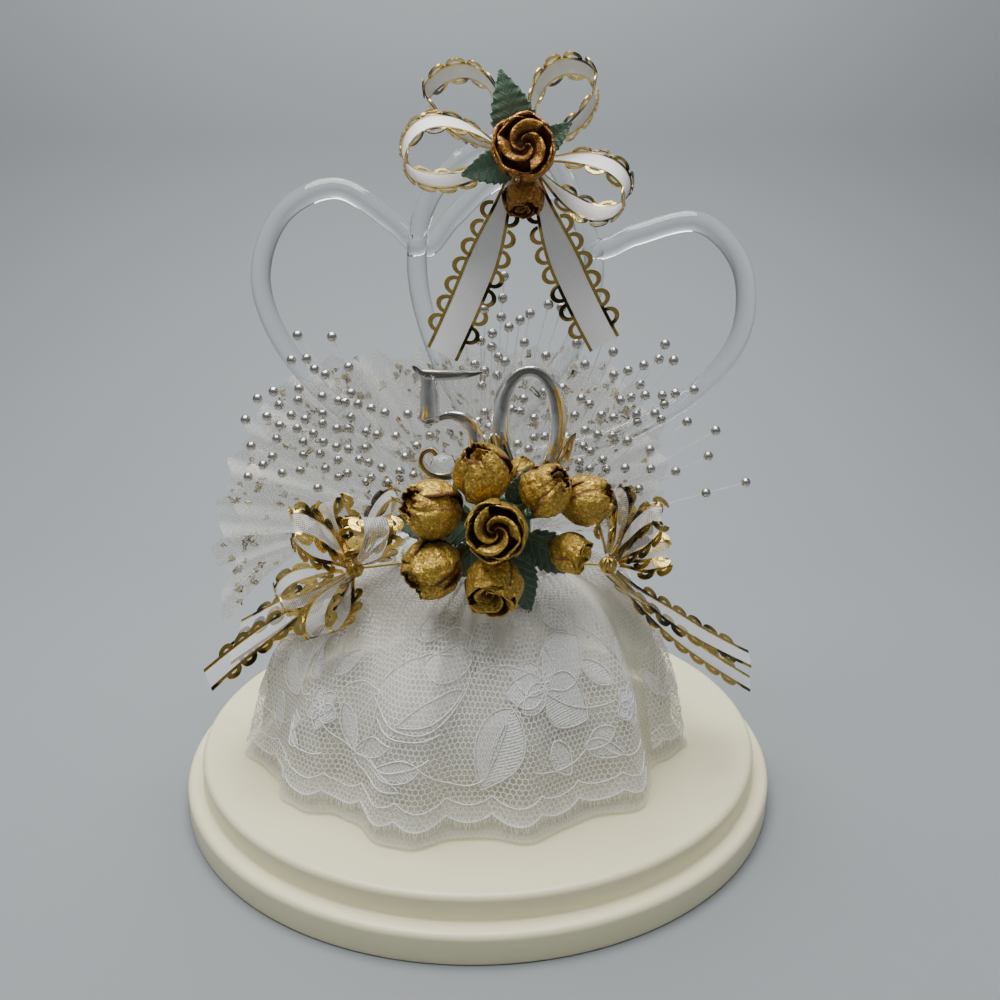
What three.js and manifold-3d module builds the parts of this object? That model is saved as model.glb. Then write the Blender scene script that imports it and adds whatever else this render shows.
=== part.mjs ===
// Wedding cake topper: two clear hearts over a bouquet of gold rosebuds, with a gathered lace skirt,
// a tulle fan, silvered numerals and ribbon bows, on a stepped round base.
// Millimetres, +Z up, +Y away from the viewer. The origin is the centre of the base's underside.

import * as THREE from "three";
import { mergeVertices } from "three/addons/utils/BufferGeometryUtils.js";
import Module from "manifold-3d";

const wasm = await Module();
wasm.setup();

// Driving dimensions

// The gap that every two touching pieces keep
const SEAT_GAP = 0.3;

// Base: two round tiers with rounded edges
const BASE_D = 152;
const LOWER_TIER_H = 7.2;
const UPPER_TIER_H = 6.1;
const TIER_STEP_W = 4.1;
const TIER_EDGE_R = 1.5;
const FOOT_EDGE_R = 0.6;

// Foam core under the skirt, glued beside the base's centre
const CORE_D = 42;
const CORE_H = 50.4;
const CORE_SHIFT_X = 2;
const CORE_EDGE_R = 2.5;

// Hearts, bent from round rod, each with a stake in the core
const ROD_D = 4.7;
const HEART_W = 79.4;
const HEART_PASS_GAP = 0.7;
const HEART_JOINT_D = 8.2;
const CLEFT_RISE = 72.8;
const LEFT_CLEFT_X = -12.2;
const RIGHT_CLEFT_X = 27.8;
const HEART_STAKE_DEPTH = 18;

// Cloth: lace over a longer tulle underskirt
const CLOTH_T = 0.6;
const LAYER_GAP = 1.5;
const SKIRT_HEM_D = 105;
const SKIRT_TOP_DROP = 3;
const LACE_HEM_LIFT = 3.6;
const SKIRT_FOLD_DEPTH = 3.2;
const SKIRT_SWAY_X = 5;
const UNDERSKIRT_SPREAD_W = 3;

// Tulle fan behind the hearts
const FAN_REACH = 74;
const FAN_Y = 9;
const FAN_ROOT_R = 3;
const FAN_RIPPLE_DEPTH = 1.8;

// Numerals, each on a pick
const NUMERAL_H = 26.5;
const NUMERAL_T = 2.4;
const NUMERAL_BEVEL_SHARE = 0.3;
const NUMERAL_Y = -17;
const NUMERAL_LIFT = 21.3;
const FIVE_X = -14.5;
const ZERO_X = 3.6;
const PICK_D = 2;
const PICK_DEPTH = 14;

// Bouquet: rosebuds and leaves round one taped stem
const BUD_D = 12.6;
const BUD_STEM_D = 1.5;
const HUB_D = 12;
const HUB_X = 6;
const HUB_Y = -25;
const HUB_RISE = 13;
const HUB_STEM_D = 3.4;
const HUB_STEM_DEPTH = 12;
const HUB_STEM_Y = -14;
const LEAF_L = 13;
const LEAF_W = 8;
const LEAF_T = 0.5;
const LEAF_CURL_H = 1.6;

// Ribbon, without its picot loops
const RIBBON_W = 7.4;
const RIBBON_T = 0.45;
const RIBBON_ROOT_W = 1.8;
const RIBBON_ROOT_GAP = 0.9;

// Bead sprays
const BEAD_D = 2.4;
const FILAMENT_D = 0.6;
const SPRAY_REACH = 62;
const SPRAY_SAG_H = 1.5;
const SPRAY_Y = -8;
const SPRAY_HUB_D = 3;
const SPRAY_HUB_RISE = 3;
const SPRAY_HUB_DEPTH = 14;
const SPRAY_PITCH_X = 10;

// Top decoration
const TOP_KNOT_X = 10.7;
const TOP_KNOT_D = 4.4;
const TOP_KNOT_GAP = 2.2;
const TIE_WIRE_D = 1;
const TOP_LOOP_L = 27;
const TOP_TAIL_L = 47;
const TOP_ROSE_D = 13.6;
const TOP_ROSE_L = 8;
const TOP_BUD_D = 9.6;
const TOP_BUD_L = 7.8;
const TOP_STEM_L = 2.4;

// Side bows
const SIDE_KNOT_D = 4.4;
const SIDE_KNOT_Y = -16;
const LEFT_KNOT_X = -29.3;
const LEFT_KNOT_DROP = 1.4;
const RIGHT_KNOT_X = 31.6;
const RIGHT_KNOT_DROP = 0.4;
const SIDE_LOOP_L = 19;
const SIDE_TAIL_L = 44;

// How finely round shapes are divided
const BASE_SIDES = 72;
const CORE_SIDES = 32;
const ROD_SIDES = 8;
const HEART_STEPS = 48;
const SKIRT_SECTIONS = 60;
const FAN_SECTIONS = 60;
const FAN_ROWS = 3;
const BUD_SIDES = 12;
const LOOP_STEPS = 14;
const TAIL_STEPS = 9;
const STRAND_SIDES = 5;
const KNOT_SIDES = 8;

// Heights that follow from those sizes
const TABLE_Z = LOWER_TIER_H + UPPER_TIER_H;
const CORE_BASE_Z = TABLE_Z + SEAT_GAP;
const CORE_TOP_Z = CORE_BASE_Z + CORE_H;

// Materials
const cream = new THREE.MeshStandardMaterial({ color: 0xece6cf, roughness: 0.42 });
const foam = new THREE.MeshStandardMaterial({ color: 0xf4f3ee, roughness: 0.9 });
const acrylic = new THREE.MeshStandardMaterial({
  color: 0xe8eef0, roughness: 0.08, transparent: true, opacity: 0.35,
});
const laceCloth = new THREE.MeshStandardMaterial({ color: 0xf2f2ee, roughness: 0.85 });
const tulleCloth = new THREE.MeshStandardMaterial({
  color: 0xf5f5f2, roughness: 0.8, transparent: true, opacity: 0.45,
});
const silver = new THREE.MeshStandardMaterial({ color: 0xc4c2bd, roughness: 0.18, metalness: 1 });
const goldPetal = new THREE.MeshStandardMaterial({ color: 0xa9792b, roughness: 0.5, metalness: 0.5 });
const leafCloth = new THREE.MeshStandardMaterial({ color: 0x2f4a38, roughness: 0.75 });
const ribbonCloth = new THREE.MeshStandardMaterial({ color: 0xd8cdb4, roughness: 0.5 });
const tieWire = new THREE.MeshStandardMaterial({ color: 0xb08a3a, roughness: 0.35, metalness: 0.8 });
const stemTape = new THREE.MeshStandardMaterial({ color: 0x3c5a3a, roughness: 0.8 });

const topper = new THREE.Group();
topper.name = "wedding_cake_topper";

function addPiece(name, geometry, material) {
  const mesh = new THREE.Mesh(geometry, material);
  mesh.name = name;
  topper.add(mesh);
}

// Geometry helpers

const vec = (x, y, z) => new THREE.Vector3(x, y, z);
const rad = (degrees) => THREE.MathUtils.degToRad(degrees);
const smooth = (share) => THREE.MathUtils.smoothstep(share, 0, 1);

// A number from a list of evenly spaced shares
function shareAt(list, place) {
  const at = THREE.MathUtils.clamp(place, 0, 1) * (list.length - 1);
  const low = Math.min(Math.floor(at), list.length - 2);
  return THREE.MathUtils.lerp(list[low], list[low + 1], at - low);
}

// The same body with its faces pointing out, and no triangle without area
function closedBody(positions, index) {
  const corner = (i) => vec(positions[3 * i], positions[3 * i + 1], positions[3 * i + 2]);
  let volume = 0;
  const kept = [];
  for (let t = 0; t < index.length; t += 3) {
    const [a, b, c] = [index[t], index[t + 1], index[t + 2]];
    if (a === b || b === c || a === c) continue;
    kept.push([a, b, c]);
    volume += corner(a).dot(corner(b).cross(corner(c)));
  }
  const geometry = new THREE.BufferGeometry();
  geometry.setAttribute("position", new THREE.Float32BufferAttribute(positions, 3));
  geometry.setIndex(kept.flatMap(([a, b, c]) => (volume > 0 ? [a, b, c] : [a, c, b])));
  return geometry;
}

// A three.js shape with its shared corners merged
function merged(geometry) {
  const bare = geometry.clone();
  bare.deleteAttribute("normal");
  bare.deleteAttribute("uv");
  const joined = mergeVertices(bare);
  return closedBody([...joined.attributes.position.array], [...joined.index.array]);
}

// A closed body through rings of points, with flat ends, or joined end to end
function loft(rings, joined = false) {
  const count = rings[0].length;
  const index = [];
  const spans = joined ? rings.length : rings.length - 1;
  for (let i = 0; i < spans; i++) {
    const here = i * count;
    const next = ((i + 1) % rings.length) * count;
    for (let j = 0; j < count; j++) {
      const k = (j + 1) % count;
      index.push(here + j, here + k, next + k, here + j, next + k, next + j);
    }
  }
  const cap = (start, flip) => {
    let low = 0;
    let high = count - 1;
    while (high - low > 1) {
      const first = [low, low + 1, high];
      low += 1;
      const second = high - low > 1 ? [low, high - 1, high] : [];
      high -= second.length ? 1 : 0;
      for (const face of [first, second]) {
        const turned = flip ? [...face].reverse() : face;
        index.push(...turned.map((corner) => start + corner));
      }
    }
  };
  if (!joined) {
    cap(0, true);
    cap((rings.length - 1) * count, false);
  }
  return closedBody(rings.flat().flatMap((point) => [point.x, point.y, point.z]), index);
}

// A ring of points about a centre, in the plane of two directions
function ring(centre, across, up, radius, sides) {
  return Array.from({ length: sides }, (_, i) => {
    const angle = (i / sides) * 2 * Math.PI;
    return centre.clone()
      .addScaledVector(across, radius * Math.cos(angle))
      .addScaledVector(up, radius * Math.sin(angle));
  });
}

// Two directions square to a third one
function sideways(direction, hint = vec(0, 0, 1)) {
  const usable = Math.abs(direction.dot(hint)) > 0.95 ? vec(0, 1, 0) : hint;
  const across = direction.clone().cross(usable).normalize();
  return [across, across.clone().cross(direction).normalize()];
}

// A round bar from one point to another
function bar(from, to, diameter, sides) {
  const [across, up] = sideways(to.clone().sub(from).normalize());
  return loft([from, to].map((point) => ring(point, across, up, diameter / 2, sides)));
}

function ball(centre, diameter, sides) {
  const sphere = new THREE.SphereGeometry(diameter / 2, sides, sides / 2);
  return merged(sphere.translate(centre.x, centre.y, centre.z));
}

function solid(geometry) {
  const position = geometry.attributes.position.array;
  return new wasm.Manifold(new wasm.Mesh({
    numProp: 3,
    vertProperties: Float32Array.from(position),
    triVerts: Uint32Array.from(geometry.index.array),
  }));
}

function fromSolid(result) {
  const mesh = result.getMesh();
  return closedBody([...mesh.vertProperties], [...mesh.triVerts]);
}

function join(geometries) {
  return fromSolid(geometries.map(solid).reduce((whole, next) => whole.add(next)));
}

function cut(geometry, tools) {
  return fromSolid(tools.map(solid).reduce((whole, tool) => whole.subtract(tool), solid(geometry)));
}

// A round body about the Z axis, from a profile of radius and height
function turned(profile, sides) {
  const lathe = new THREE.LatheGeometry(profile.map(([r, z]) => new THREE.Vector2(r, z)), sides);
  return merged(lathe.rotateX(Math.PI / 2));
}

// The points of a rounded edge, as radius and height, from one angle to another
function edgeArc(centreR, centreZ, radius, fromDeg, toDeg, steps) {
  return Array.from({ length: steps + 1 }, (_, i) => {
    const angle = rad(fromDeg + ((toDeg - fromDeg) * i) / steps);
    return [centreR + radius * Math.cos(angle), centreZ + radius * Math.sin(angle)];
  });
}

// Base

function makeBase() {
  const lowerR = BASE_D / 2;
  const upperR = lowerR - TIER_STEP_W;
  const profile = [
    [0, 0],
    [lowerR - FOOT_EDGE_R, 0],
    [lowerR, FOOT_EDGE_R],
    ...edgeArc(lowerR - TIER_EDGE_R, LOWER_TIER_H - TIER_EDGE_R, TIER_EDGE_R, 0, 90, 2),
    [upperR, LOWER_TIER_H],
    ...edgeArc(upperR - TIER_EDGE_R, TABLE_Z - TIER_EDGE_R, TIER_EDGE_R, 0, 90, 2),
    [0, TABLE_Z],
  ];
  addPiece("display_base", turned(profile, BASE_SIDES), cream);
}

// Places of what stands in the core

const knotZ = { left: CORE_TOP_Z - LEFT_KNOT_DROP, right: CORE_TOP_Z - RIGHT_KNOT_DROP };
const hub = vec(HUB_X, HUB_Y, CORE_TOP_Z + HUB_RISE);
const hubStemEnd = vec(HUB_X, HUB_STEM_Y, CORE_TOP_Z - HUB_STEM_DEPTH);

// A heart's outline on the rod's centre line, from its joint up one side to the cleft, in half widths
const heartShares = [
  [0.065, -1.36], [0.58, -0.97], [0.92, -0.51], [1, -0.1], [0.82, 0.25], [0.49, 0.37], [0.18, 0.16], [0, 0],
];
const heartTipShare = -1.41;
const heartY = (ROD_D + HEART_PASS_GAP) / 2;
const hearts = {
  heart_left: { cleft: vec(LEFT_CLEFT_X, heartY, CORE_TOP_Z + CLEFT_RISE), leanDeg: -3.7 },
  heart_right: { cleft: vec(RIGHT_CLEFT_X, -heartY, CORE_TOP_Z + CLEFT_RISE), leanDeg: 23.2 },
};

function heartPoint(heart, acrossShare, upShare) {
  const lean = rad(heart.leanDeg);
  const across = (acrossShare * HEART_W) / 2;
  const up = (upShare * HEART_W) / 2;
  return heart.cleft.clone().add(vec(
    across * Math.cos(lean) + up * Math.sin(lean), 0, up * Math.cos(lean) - across * Math.sin(lean)));
}

const heartTip = (heart) => heartPoint(heart, 0, heartTipShare);

// Each spray's hub stands in the core's top
const sprayHubs = Object.fromEntries(["left", "centre", "right"].map((side, i) => [
  side, vec(CORE_SHIFT_X + (i - 1) * SPRAY_PITCH_X, SPRAY_Y, CORE_TOP_Z),
]));

const pickPlaces = {
  number_five: vec(FIVE_X + 0.36 * NUMERAL_H, NUMERAL_Y, CORE_TOP_Z),
  number_zero: vec(ZERO_X + 0.33 * NUMERAL_H, NUMERAL_Y, CORE_TOP_Z),
};

// Foam core, with a hole for each stake, pick, stem and hub

function hole(x, y, depth, diameter) {
  const above = vec(x, y, CORE_TOP_Z + diameter);
  return bar(vec(x, y, CORE_TOP_Z - depth - SEAT_GAP), above, diameter + 2 * SEAT_GAP, ROD_SIDES);
}

function makeCore() {
  const radius = CORE_D / 2;
  const blank = turned([
    [0, CORE_BASE_Z],
    [radius, CORE_BASE_Z],
    ...edgeArc(radius - CORE_EDGE_R, CORE_TOP_Z - CORE_EDGE_R, CORE_EDGE_R, 0, 90, 2),
    [0, CORE_TOP_Z],
  ], CORE_SIDES).translate(CORE_SHIFT_X, 0, 0);
  const stem = hub.clone().sub(hubStemEnd).normalize();
  const holes = [
    ...Object.values(hearts).map((heart) => hole(heartTip(heart).x, heart.cleft.y, HEART_STAKE_DEPTH, ROD_D)),
    ...Object.values(sprayHubs).map((place) => hole(place.x, place.y, SPRAY_HUB_DEPTH, SPRAY_HUB_D)),
    ...Object.values(pickPlaces).map((place) => hole(place.x, place.y, PICK_DEPTH, PICK_D)),
    bar(hubStemEnd.clone().addScaledVector(stem, -SEAT_GAP), hub, HUB_STEM_D + 2 * SEAT_GAP, ROD_SIDES),
  ];
  addPiece("foam_core", cut(blank, holes), foam);
}

// Hearts: the bent rod, the joint at its tip and the stake below

function makeHearts() {
  for (const [name, heart] of Object.entries(hearts)) {
    const oneSide = heartShares.map(([across, up]) => heartPoint(heart, -across, up));
    const otherSide = heartShares.slice(0, -1).reverse().map(([across, up]) => heartPoint(heart, across, up));
    const path = new THREE.CatmullRomCurve3([...oneSide, ...otherSide]);
    const section = new THREE.Shape().absarc(0, 0, ROD_D / 2, 0, 2 * Math.PI, false);
    const rod = new THREE.ExtrudeGeometry(section, {
      extrudePath: path, steps: HEART_STEPS, curveSegments: ROD_SIDES / 2, bevelEnabled: false,
    });
    const tip = heartTip(heart);
    const foot = vec(tip.x, tip.y, CORE_TOP_Z - HEART_STAKE_DEPTH);
    const joint = ball(tip.clone().add(vec(0, 0, ROD_D / 3)), HEART_JOINT_D, ROD_SIDES);
    addPiece(name, join([merged(rod), joint, bar(foot, tip, ROD_D, ROD_SIDES)]), acrylic);
  }
}

// Skirt: one profile that both layers follow, from the waist out and down to the hem

const skirtRows = [
  { radiusShare: 0, heightShare: 1, foldShare: 0 },
  { radiusShare: 0.05, heightShare: 0.955, foldShare: 0.1 },
  { radiusShare: 0.4, heightShare: 0.86, foldShare: 0.35 },
  { radiusShare: 0.62, heightShare: 0.72, foldShare: 0.55 },
  { radiusShare: 0.8, heightShare: 0.52, foldShare: 0.75 },
  { radiusShare: 0.915, heightShare: 0.27, foldShare: 0.9 },
  { radiusShare: 1, heightShare: 0, foldShare: 1 },
];
const SKIRT_FOLDS = 12;
const SKIRT_VALLEY_DEG = -89;
const waistR = CORE_D / 2 + SEAT_GAP;
const skirtTopZ = CORE_TOP_Z - SKIRT_TOP_DROP;
const laceHemZ = TABLE_Z + LACE_HEM_LIFT;

function skirtFold(angle) {
  const main = -Math.cos(SKIRT_FOLDS * (angle - rad(SKIRT_VALLEY_DEG)));
  return 0.7 * main + 0.3 * Math.cos((SKIRT_FOLDS / 2 + 1) * angle);
}

function skirtProfile() {
  return skirtRows.map((row) => ({
    r: THREE.MathUtils.lerp(waistR, SKIRT_HEM_D / 2, row.radiusShare),
    z: THREE.MathUtils.lerp(laceHemZ, skirtTopZ, row.heightShare),
    fold: row.foldShare * SKIRT_FOLD_DEPTH,
    sway: -SKIRT_SWAY_X * row.radiusShare,
  }));
}

// A closed cloth layer round the core, offset outward from a profile
function skirtLayer(profile, offset) {
  const normals = profile.map((_, i) => {
    const above = profile[Math.max(i - 1, 0)];
    const below = profile[Math.min(i + 1, profile.length - 1)];
    const length = Math.hypot(below.r - above.r, above.z - below.z);
    return i === 0 ? [1, 0] : [(above.z - below.z) / length, (below.r - above.r) / length];
  });
  const sections = Array.from({ length: SKIRT_SECTIONS }, (_, j) => {
    const angle = (j / SKIRT_SECTIONS) * 2 * Math.PI;
    const at = (i, out) => {
      const place = profile[i];
      const radius = place.r + normals[i][0] * out + place.fold * skirtFold(angle);
      const x = CORE_SHIFT_X + place.sway + radius * Math.cos(angle);
      return vec(x, radius * Math.sin(angle), place.z + normals[i][1] * out);
    };
    const rows = profile.map((_, i) => i);
    return [
      ...rows.map((i) => at(i, offset + CLOTH_T)),
      ...rows.reverse().map((i) => at(i, offset)),
    ];
  });
  return loft(sections, true);
}

function makeSkirts() {
  const lace = skirtProfile();
  addPiece("lace_skirt", skirtLayer(lace, CLOTH_T + LAYER_GAP), laceCloth);

  // The underskirt follows the lace, then spreads on the base past the lace's hem
  const hem = lace.at(-1);
  const knee = { ...hem, r: hem.r - UNDERSKIRT_SPREAD_W / 3, z: hem.z + LACE_HEM_LIFT / 2 };
  const spread = { ...hem, r: hem.r + UNDERSKIRT_SPREAD_W, z: TABLE_Z + SEAT_GAP };
  addPiece("tulle_underskirt", skirtLayer([lace[0], lace[2], lace[4], lace[5], knee, spread], 0), tulleCloth);
}

// Tulle fan: one rippled sheet, gathered at its root on the core

const FAN_FROM_DEG = -4;
const FAN_TO_DEG = 200;
const FAN_PLEATS = 15;
const fanReachShares = [0.55, 0.64, 0.7, 0.73, 0.7, 0.64, 0.65, 0.68, 0.81, 0.885, 0.92, 0.965, 1];
const fanRoot = vec(CORE_SHIFT_X, FAN_Y, CORE_TOP_Z + SEAT_GAP);

function fanPoint(share, out, y) {
  const angle = rad(THREE.MathUtils.lerp(FAN_FROM_DEG, FAN_TO_DEG, share));
  const radius = THREE.MathUtils.lerp(FAN_ROOT_R, FAN_REACH * shareAt(fanReachShares, share), out);
  const rise = radius * Math.sin(angle);
  const hang = rise < 0 ? (radius / FAN_REACH) ** 3 : 1;
  const ripple = FAN_RIPPLE_DEPTH * out * Math.sin(2 * Math.PI * FAN_PLEATS * share);
  return fanRoot.clone().add(vec(radius * Math.cos(angle), y + ripple, rise * hang));
}

function makeFan() {
  const rows = Array.from({ length: FAN_ROWS + 1 }, (_, i) => i / FAN_ROWS);
  const sections = Array.from({ length: FAN_SECTIONS + 1 }, (_, j) => {
    const share = j / FAN_SECTIONS;
    return [
      ...rows.map((out) => fanPoint(share, out, -CLOTH_T / 2)),
      ...[...rows].reverse().map((out) => fanPoint(share, out, CLOTH_T / 2)),
    ];
  });
  addPiece("tulle_fan", loft(sections), tulleCloth);
}

// Numerals: strokes through places, each with its width, all as shares of the numerals' height

const fiveStrokeShares = [
  [[0.01, 1, 0.04], [0.04, 0.985, 0.05], [0.09, 0.94, 0.07], [0.2, 0.922, 0.085], [0.4, 0.924, 0.07],
    [0.52, 0.932, 0.045], [0.61, 0.945, 0.02]],
  [[0.145, 0.93, 0.13], [0.15, 0.75, 0.15], [0.15, 0.6, 0.16], [0.142, 0.5, 0.2]],
  [[0.1, 0.51, 0.05], [0.2, 0.54, 0.055], [0.33, 0.575, 0.07], [0.46, 0.53, 0.11], [0.54, 0.43, 0.14],
    [0.565, 0.3, 0.145], [0.52, 0.17, 0.13], [0.41, 0.07, 0.09], [0.27, 0.03, 0.06], [0.14, 0.06, 0.05],
    [0.07, 0.15, 0.05], [0.09, 0.24, 0.05], [0.16, 0.27, 0.05], [0.21, 0.22, 0.07]],
];
const zeroRingShares = { middleX: 0.33, middleZ: 0.5, wide: 0.2575, high: 0.46, sideWidth: 0.145, topWidth: 0.085 };
const zeroStrokeShares = [
  [[0.52, 0.1, 0.1], [0.62, 0.18, 0.12], [0.66, 0.28, 0.11], [0.69, 0.36, 0.08], [0.73, 0.42, 0.03]],
  [[0.05, 0.12, 0.08], [0.02, 0.2, 0.1], [0.03, 0.32, 0.11], [0.02, 0.42, 0.07]],
];
const NUMERAL_RING_STEPS = 24;

// A stroke in a numeral's upright plane, with bevelled edges front and back
function strokeBody(shares, joined = false) {
  return loft(shares.map(([x, z, width], i) => {
    const before = joined ? shares.at(i - 1) : shares[Math.max(i - 1, 0)];
    const after = joined ? shares[(i + 1) % shares.length] : shares[Math.min(i + 1, shares.length - 1)];
    const across = vec(before[1] - after[1], 0, after[0] - before[0]).normalize();
    const half = (width * NUMERAL_H) / 2;
    const inner = half * (1 - NUMERAL_BEVEL_SHARE);
    const deep = NUMERAL_T / 2;
    const section = [[-half, 0], [-inner, -deep], [inner, -deep], [half, 0], [inner, deep], [-inner, deep]];
    return section.map(([out, back]) => vec(x * NUMERAL_H, back, z * NUMERAL_H).addScaledVector(across, out));
  }), joined);
}

function zeroRing() {
  const { middleX, middleZ, wide, high, sideWidth, topWidth } = zeroRingShares;
  return strokeBody(Array.from({ length: NUMERAL_RING_STEPS }, (_, i) => {
    const angle = (i / NUMERAL_RING_STEPS) * 2 * Math.PI;
    const width = THREE.MathUtils.lerp(sideWidth, topWidth, Math.sin(angle) ** 2);
    return [middleX + wide * Math.cos(angle), middleZ + high * Math.sin(angle), width];
  }), true);
}

function addNumeral(name, strokes, x) {
  const place = pickPlaces[name];
  const footZ = CORE_TOP_Z + NUMERAL_LIFT;
  const standing = strokes.map((stroke) => stroke.translate(x, NUMERAL_Y, footZ));
  const pickTop = vec(place.x, place.y, footZ + PICK_D);
  const pick = bar(vec(place.x, place.y, CORE_TOP_Z - PICK_DEPTH), pickTop, PICK_D, ROD_SIDES);
  addPiece(name, join([...standing, pick]), silver);
}

function makeNumerals() {
  addNumeral("number_five", fiveStrokeShares.map((shares) => strokeBody(shares)), FIVE_X);
  const flourishes = zeroStrokeShares.map((shares) => strokeBody(shares));
  addNumeral("number_zero", [zeroRing(), ...flourishes], ZERO_X);
}

// Rosebuds: a stem, a swelling cup of wrapped petals and an opening, as shares of the bud's size
const budProfileShares = [
  { out: 0.09, along: -0.16 }, { out: 0.22, along: -0.08 }, { out: 0.8, along: 0.14 }, { out: 1, along: 0.42 },
  { out: 0.94, along: 0.68 }, { out: 0.62, along: 0.95 }, { out: 0.4, along: 0.97 }, { out: 0.26, along: 0.78 },
];
const BUD_PETALS = 5;
const BUD_PETAL_SHARE = 0.07;
const BUD_TWIST_DEG = 70;

// A bud along a direction, its cup starting at a point, on a stem that reaches back to another one
function budBody(stemFoot, cupFoot, diameter, length, openShare) {
  const along = cupFoot.clone().sub(stemFoot).normalize();
  const [across, up] = sideways(along);
  const rings = budProfileShares.map((row, i) => {
    const opened = i > 4 ? row.out * openShare : row.out;
    const centre = cupFoot.clone().addScaledVector(along, row.along * length);
    return Array.from({ length: BUD_SIDES }, (_, j) => {
      const angle = (j / BUD_SIDES) * 2 * Math.PI;
      const lobe = Math.cos(BUD_PETALS * angle + rad(BUD_TWIST_DEG) * i);
      const radius = (diameter / 2) * opened * (1 + (i > 1 ? BUD_PETAL_SHARE * lobe : -BUD_PETAL_SHARE));
      return centre.clone()
        .addScaledVector(across, radius * Math.cos(angle))
        .addScaledVector(up, radius * Math.sin(angle));
    });
  });
  rings.unshift(ring(stemFoot, across, up, BUD_STEM_D / 2, BUD_SIDES));
  return loft(rings);
}

// Each rosebud's middle from the hub, in bud diameters, and how large and how open it is
const budPlaceShares = [
  { at: [-0.34, -0.64, 1.13], sizeShare: 1, openShare: 1 },
  { at: [-1.2, -0.66, 0.5], sizeShare: 1.04, openShare: 0.9 },
  { at: [-1.2, -0.82, -0.56], sizeShare: 1.04, openShare: 0.7 },
  { at: [-0.14, -1.12, -0.73], sizeShare: 1, openShare: 1.1 },
  { at: [-0.1, -1.3, 0.3], sizeShare: 1.04, openShare: 1.35 },
  { at: [0.76, -0.72, 0.86], sizeShare: 0.9, openShare: 1 },
  { at: [1.5, -0.32, 0.52], sizeShare: 0.92, openShare: 1 },
  { at: [1.2, -0.68, -0.3], sizeShare: 0.72, openShare: 1.1 },
  { at: [0.36, 0.02, 0.98], sizeShare: 0.5, openShare: 1 },
];

function makeRosebuds() {
  budPlaceShares.forEach(({ at, sizeShare, openShare }, i) => {
    const diameter = BUD_D * sizeShare;
    const middle = hub.clone().add(vec(...at).multiplyScalar(BUD_D));
    const out = middle.clone().sub(hub).normalize();
    const stemFoot = hub.clone().addScaledVector(out, HUB_D / 2 + SEAT_GAP);
    const cupFoot = middle.clone().addScaledVector(out, -diameter / 2);
    addPiece(`rosebud_${i + 1}`, budBody(stemFoot, cupFoot, diameter, diameter, openShare), goldPetal);
  });
}

// The bouquet's stem: all the wires under one tape, swelling at the middle of the buds
function makeHub() {
  const along = hub.clone().sub(hubStemEnd).normalize();
  const swell = [[-0.5, 0.5], [-0.42, 0.72], [-0.2, 0.94], [0.1, 0.98], [0.36, 0.7], [0.49, 0.3]];
  const [across, up] = sideways(along);
  const rings = swell.map(([alongShare, outShare]) => {
    const centre = hub.clone().addScaledVector(along, alongShare * HUB_D);
    return ring(centre, across, up, (outShare * HUB_D) / 2, BUD_SIDES);
  });
  const neck = hub.clone().addScaledVector(along, -HUB_D / 2 - HUB_STEM_D / 4);
  rings.unshift(ring(neck, across, up, HUB_STEM_D / 2, BUD_SIDES));
  rings.unshift(ring(hubStemEnd, across, up, HUB_STEM_D / 2, BUD_SIDES));
  addPiece("bouquet_stem", loft(rings), stemTape);
}

// Leaves: a toothed outline, curled along its length
const LEAF_TEETH = 5;
const LEAF_TOOTH_SHARE = 0.16;

function leafOutline(length, width) {
  const side = (way) => {
    const points = [];
    for (let i = 0; i < LEAF_TEETH; i++) {
      const inner = (i + 0.35) / LEAF_TEETH;
      const tooth = (i + 0.95) / LEAF_TEETH;
      const half = (place) => Math.sin(Math.PI * (0.12 + 0.86 * place) ** 0.85) * (width / 2);
      points.push(new THREE.Vector2(inner * length, way * half(inner) * (1 - LEAF_TOOTH_SHARE)));
      points.push(new THREE.Vector2(tooth * length, way * Math.max(half(tooth), width * LEAF_TOOTH_SHARE / 3)));
    }
    return points;
  };
  const stalk = new THREE.Vector2(0, (-LEAF_TOOTH_SHARE * width) / 2);
  const stalkTop = new THREE.Vector2(0, (LEAF_TOOTH_SHARE * width) / 2);
  return [stalk, ...side(-1), new THREE.Vector2(length, 0), ...side(1).reverse(), stalkTop];
}

// A leaf from its foot towards its tip, facing a given way
function leafBody(foot, tip, facing, sizeShare) {
  const length = tip.distanceTo(foot);
  const outline = leafOutline(length, LEAF_W * sizeShare);
  const flat = merged(new THREE.ExtrudeGeometry(new THREE.Shape(outline), { depth: LEAF_T, bevelEnabled: false }));
  const along = tip.clone().sub(foot).normalize();
  const across = facing.clone().cross(along).normalize();
  const face = along.clone().cross(across).normalize();
  const position = flat.attributes.position;
  for (let i = 0; i < position.count; i++) {
    const share = position.getX(i) / length;
    const lift = LEAF_CURL_H * (share * (1 - share) * 2 - share * share);
    const point = foot.clone()
      .addScaledVector(along, position.getX(i))
      .addScaledVector(across, position.getY(i))
      .addScaledVector(face, position.getZ(i) + lift);
    position.setXYZ(i, point.x, point.y, point.z);
  }
  return closedBody([...position.array], [...flat.index.array]);
}

// Each bouquet leaf's direction from the hub, its length in leaf lengths and the way it faces
const leafPlaces = [
  { out: [0.83, -0.03, -0.5], lengthShare: 1, facing: [0, -1, 0.2] },
  { out: [0.35, -0.3, 0.84], lengthShare: 0.6, facing: [0, -1, -0.2] },
  { out: [-0.98, 0.12, -0.02], lengthShare: 1.25, facing: [0, -1, 0.2] },
  { out: [-0.7, -0.1, -0.68], lengthShare: 0.8, facing: [0, -1, 0.3] },
  { out: [0.3, -0.3, -0.9], lengthShare: 0.95, facing: [0, -1, 0.3] },
  { out: [-0.19, 0.25, 0.94], lengthShare: 0.78, facing: [0, -1, 0] },
];

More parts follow.
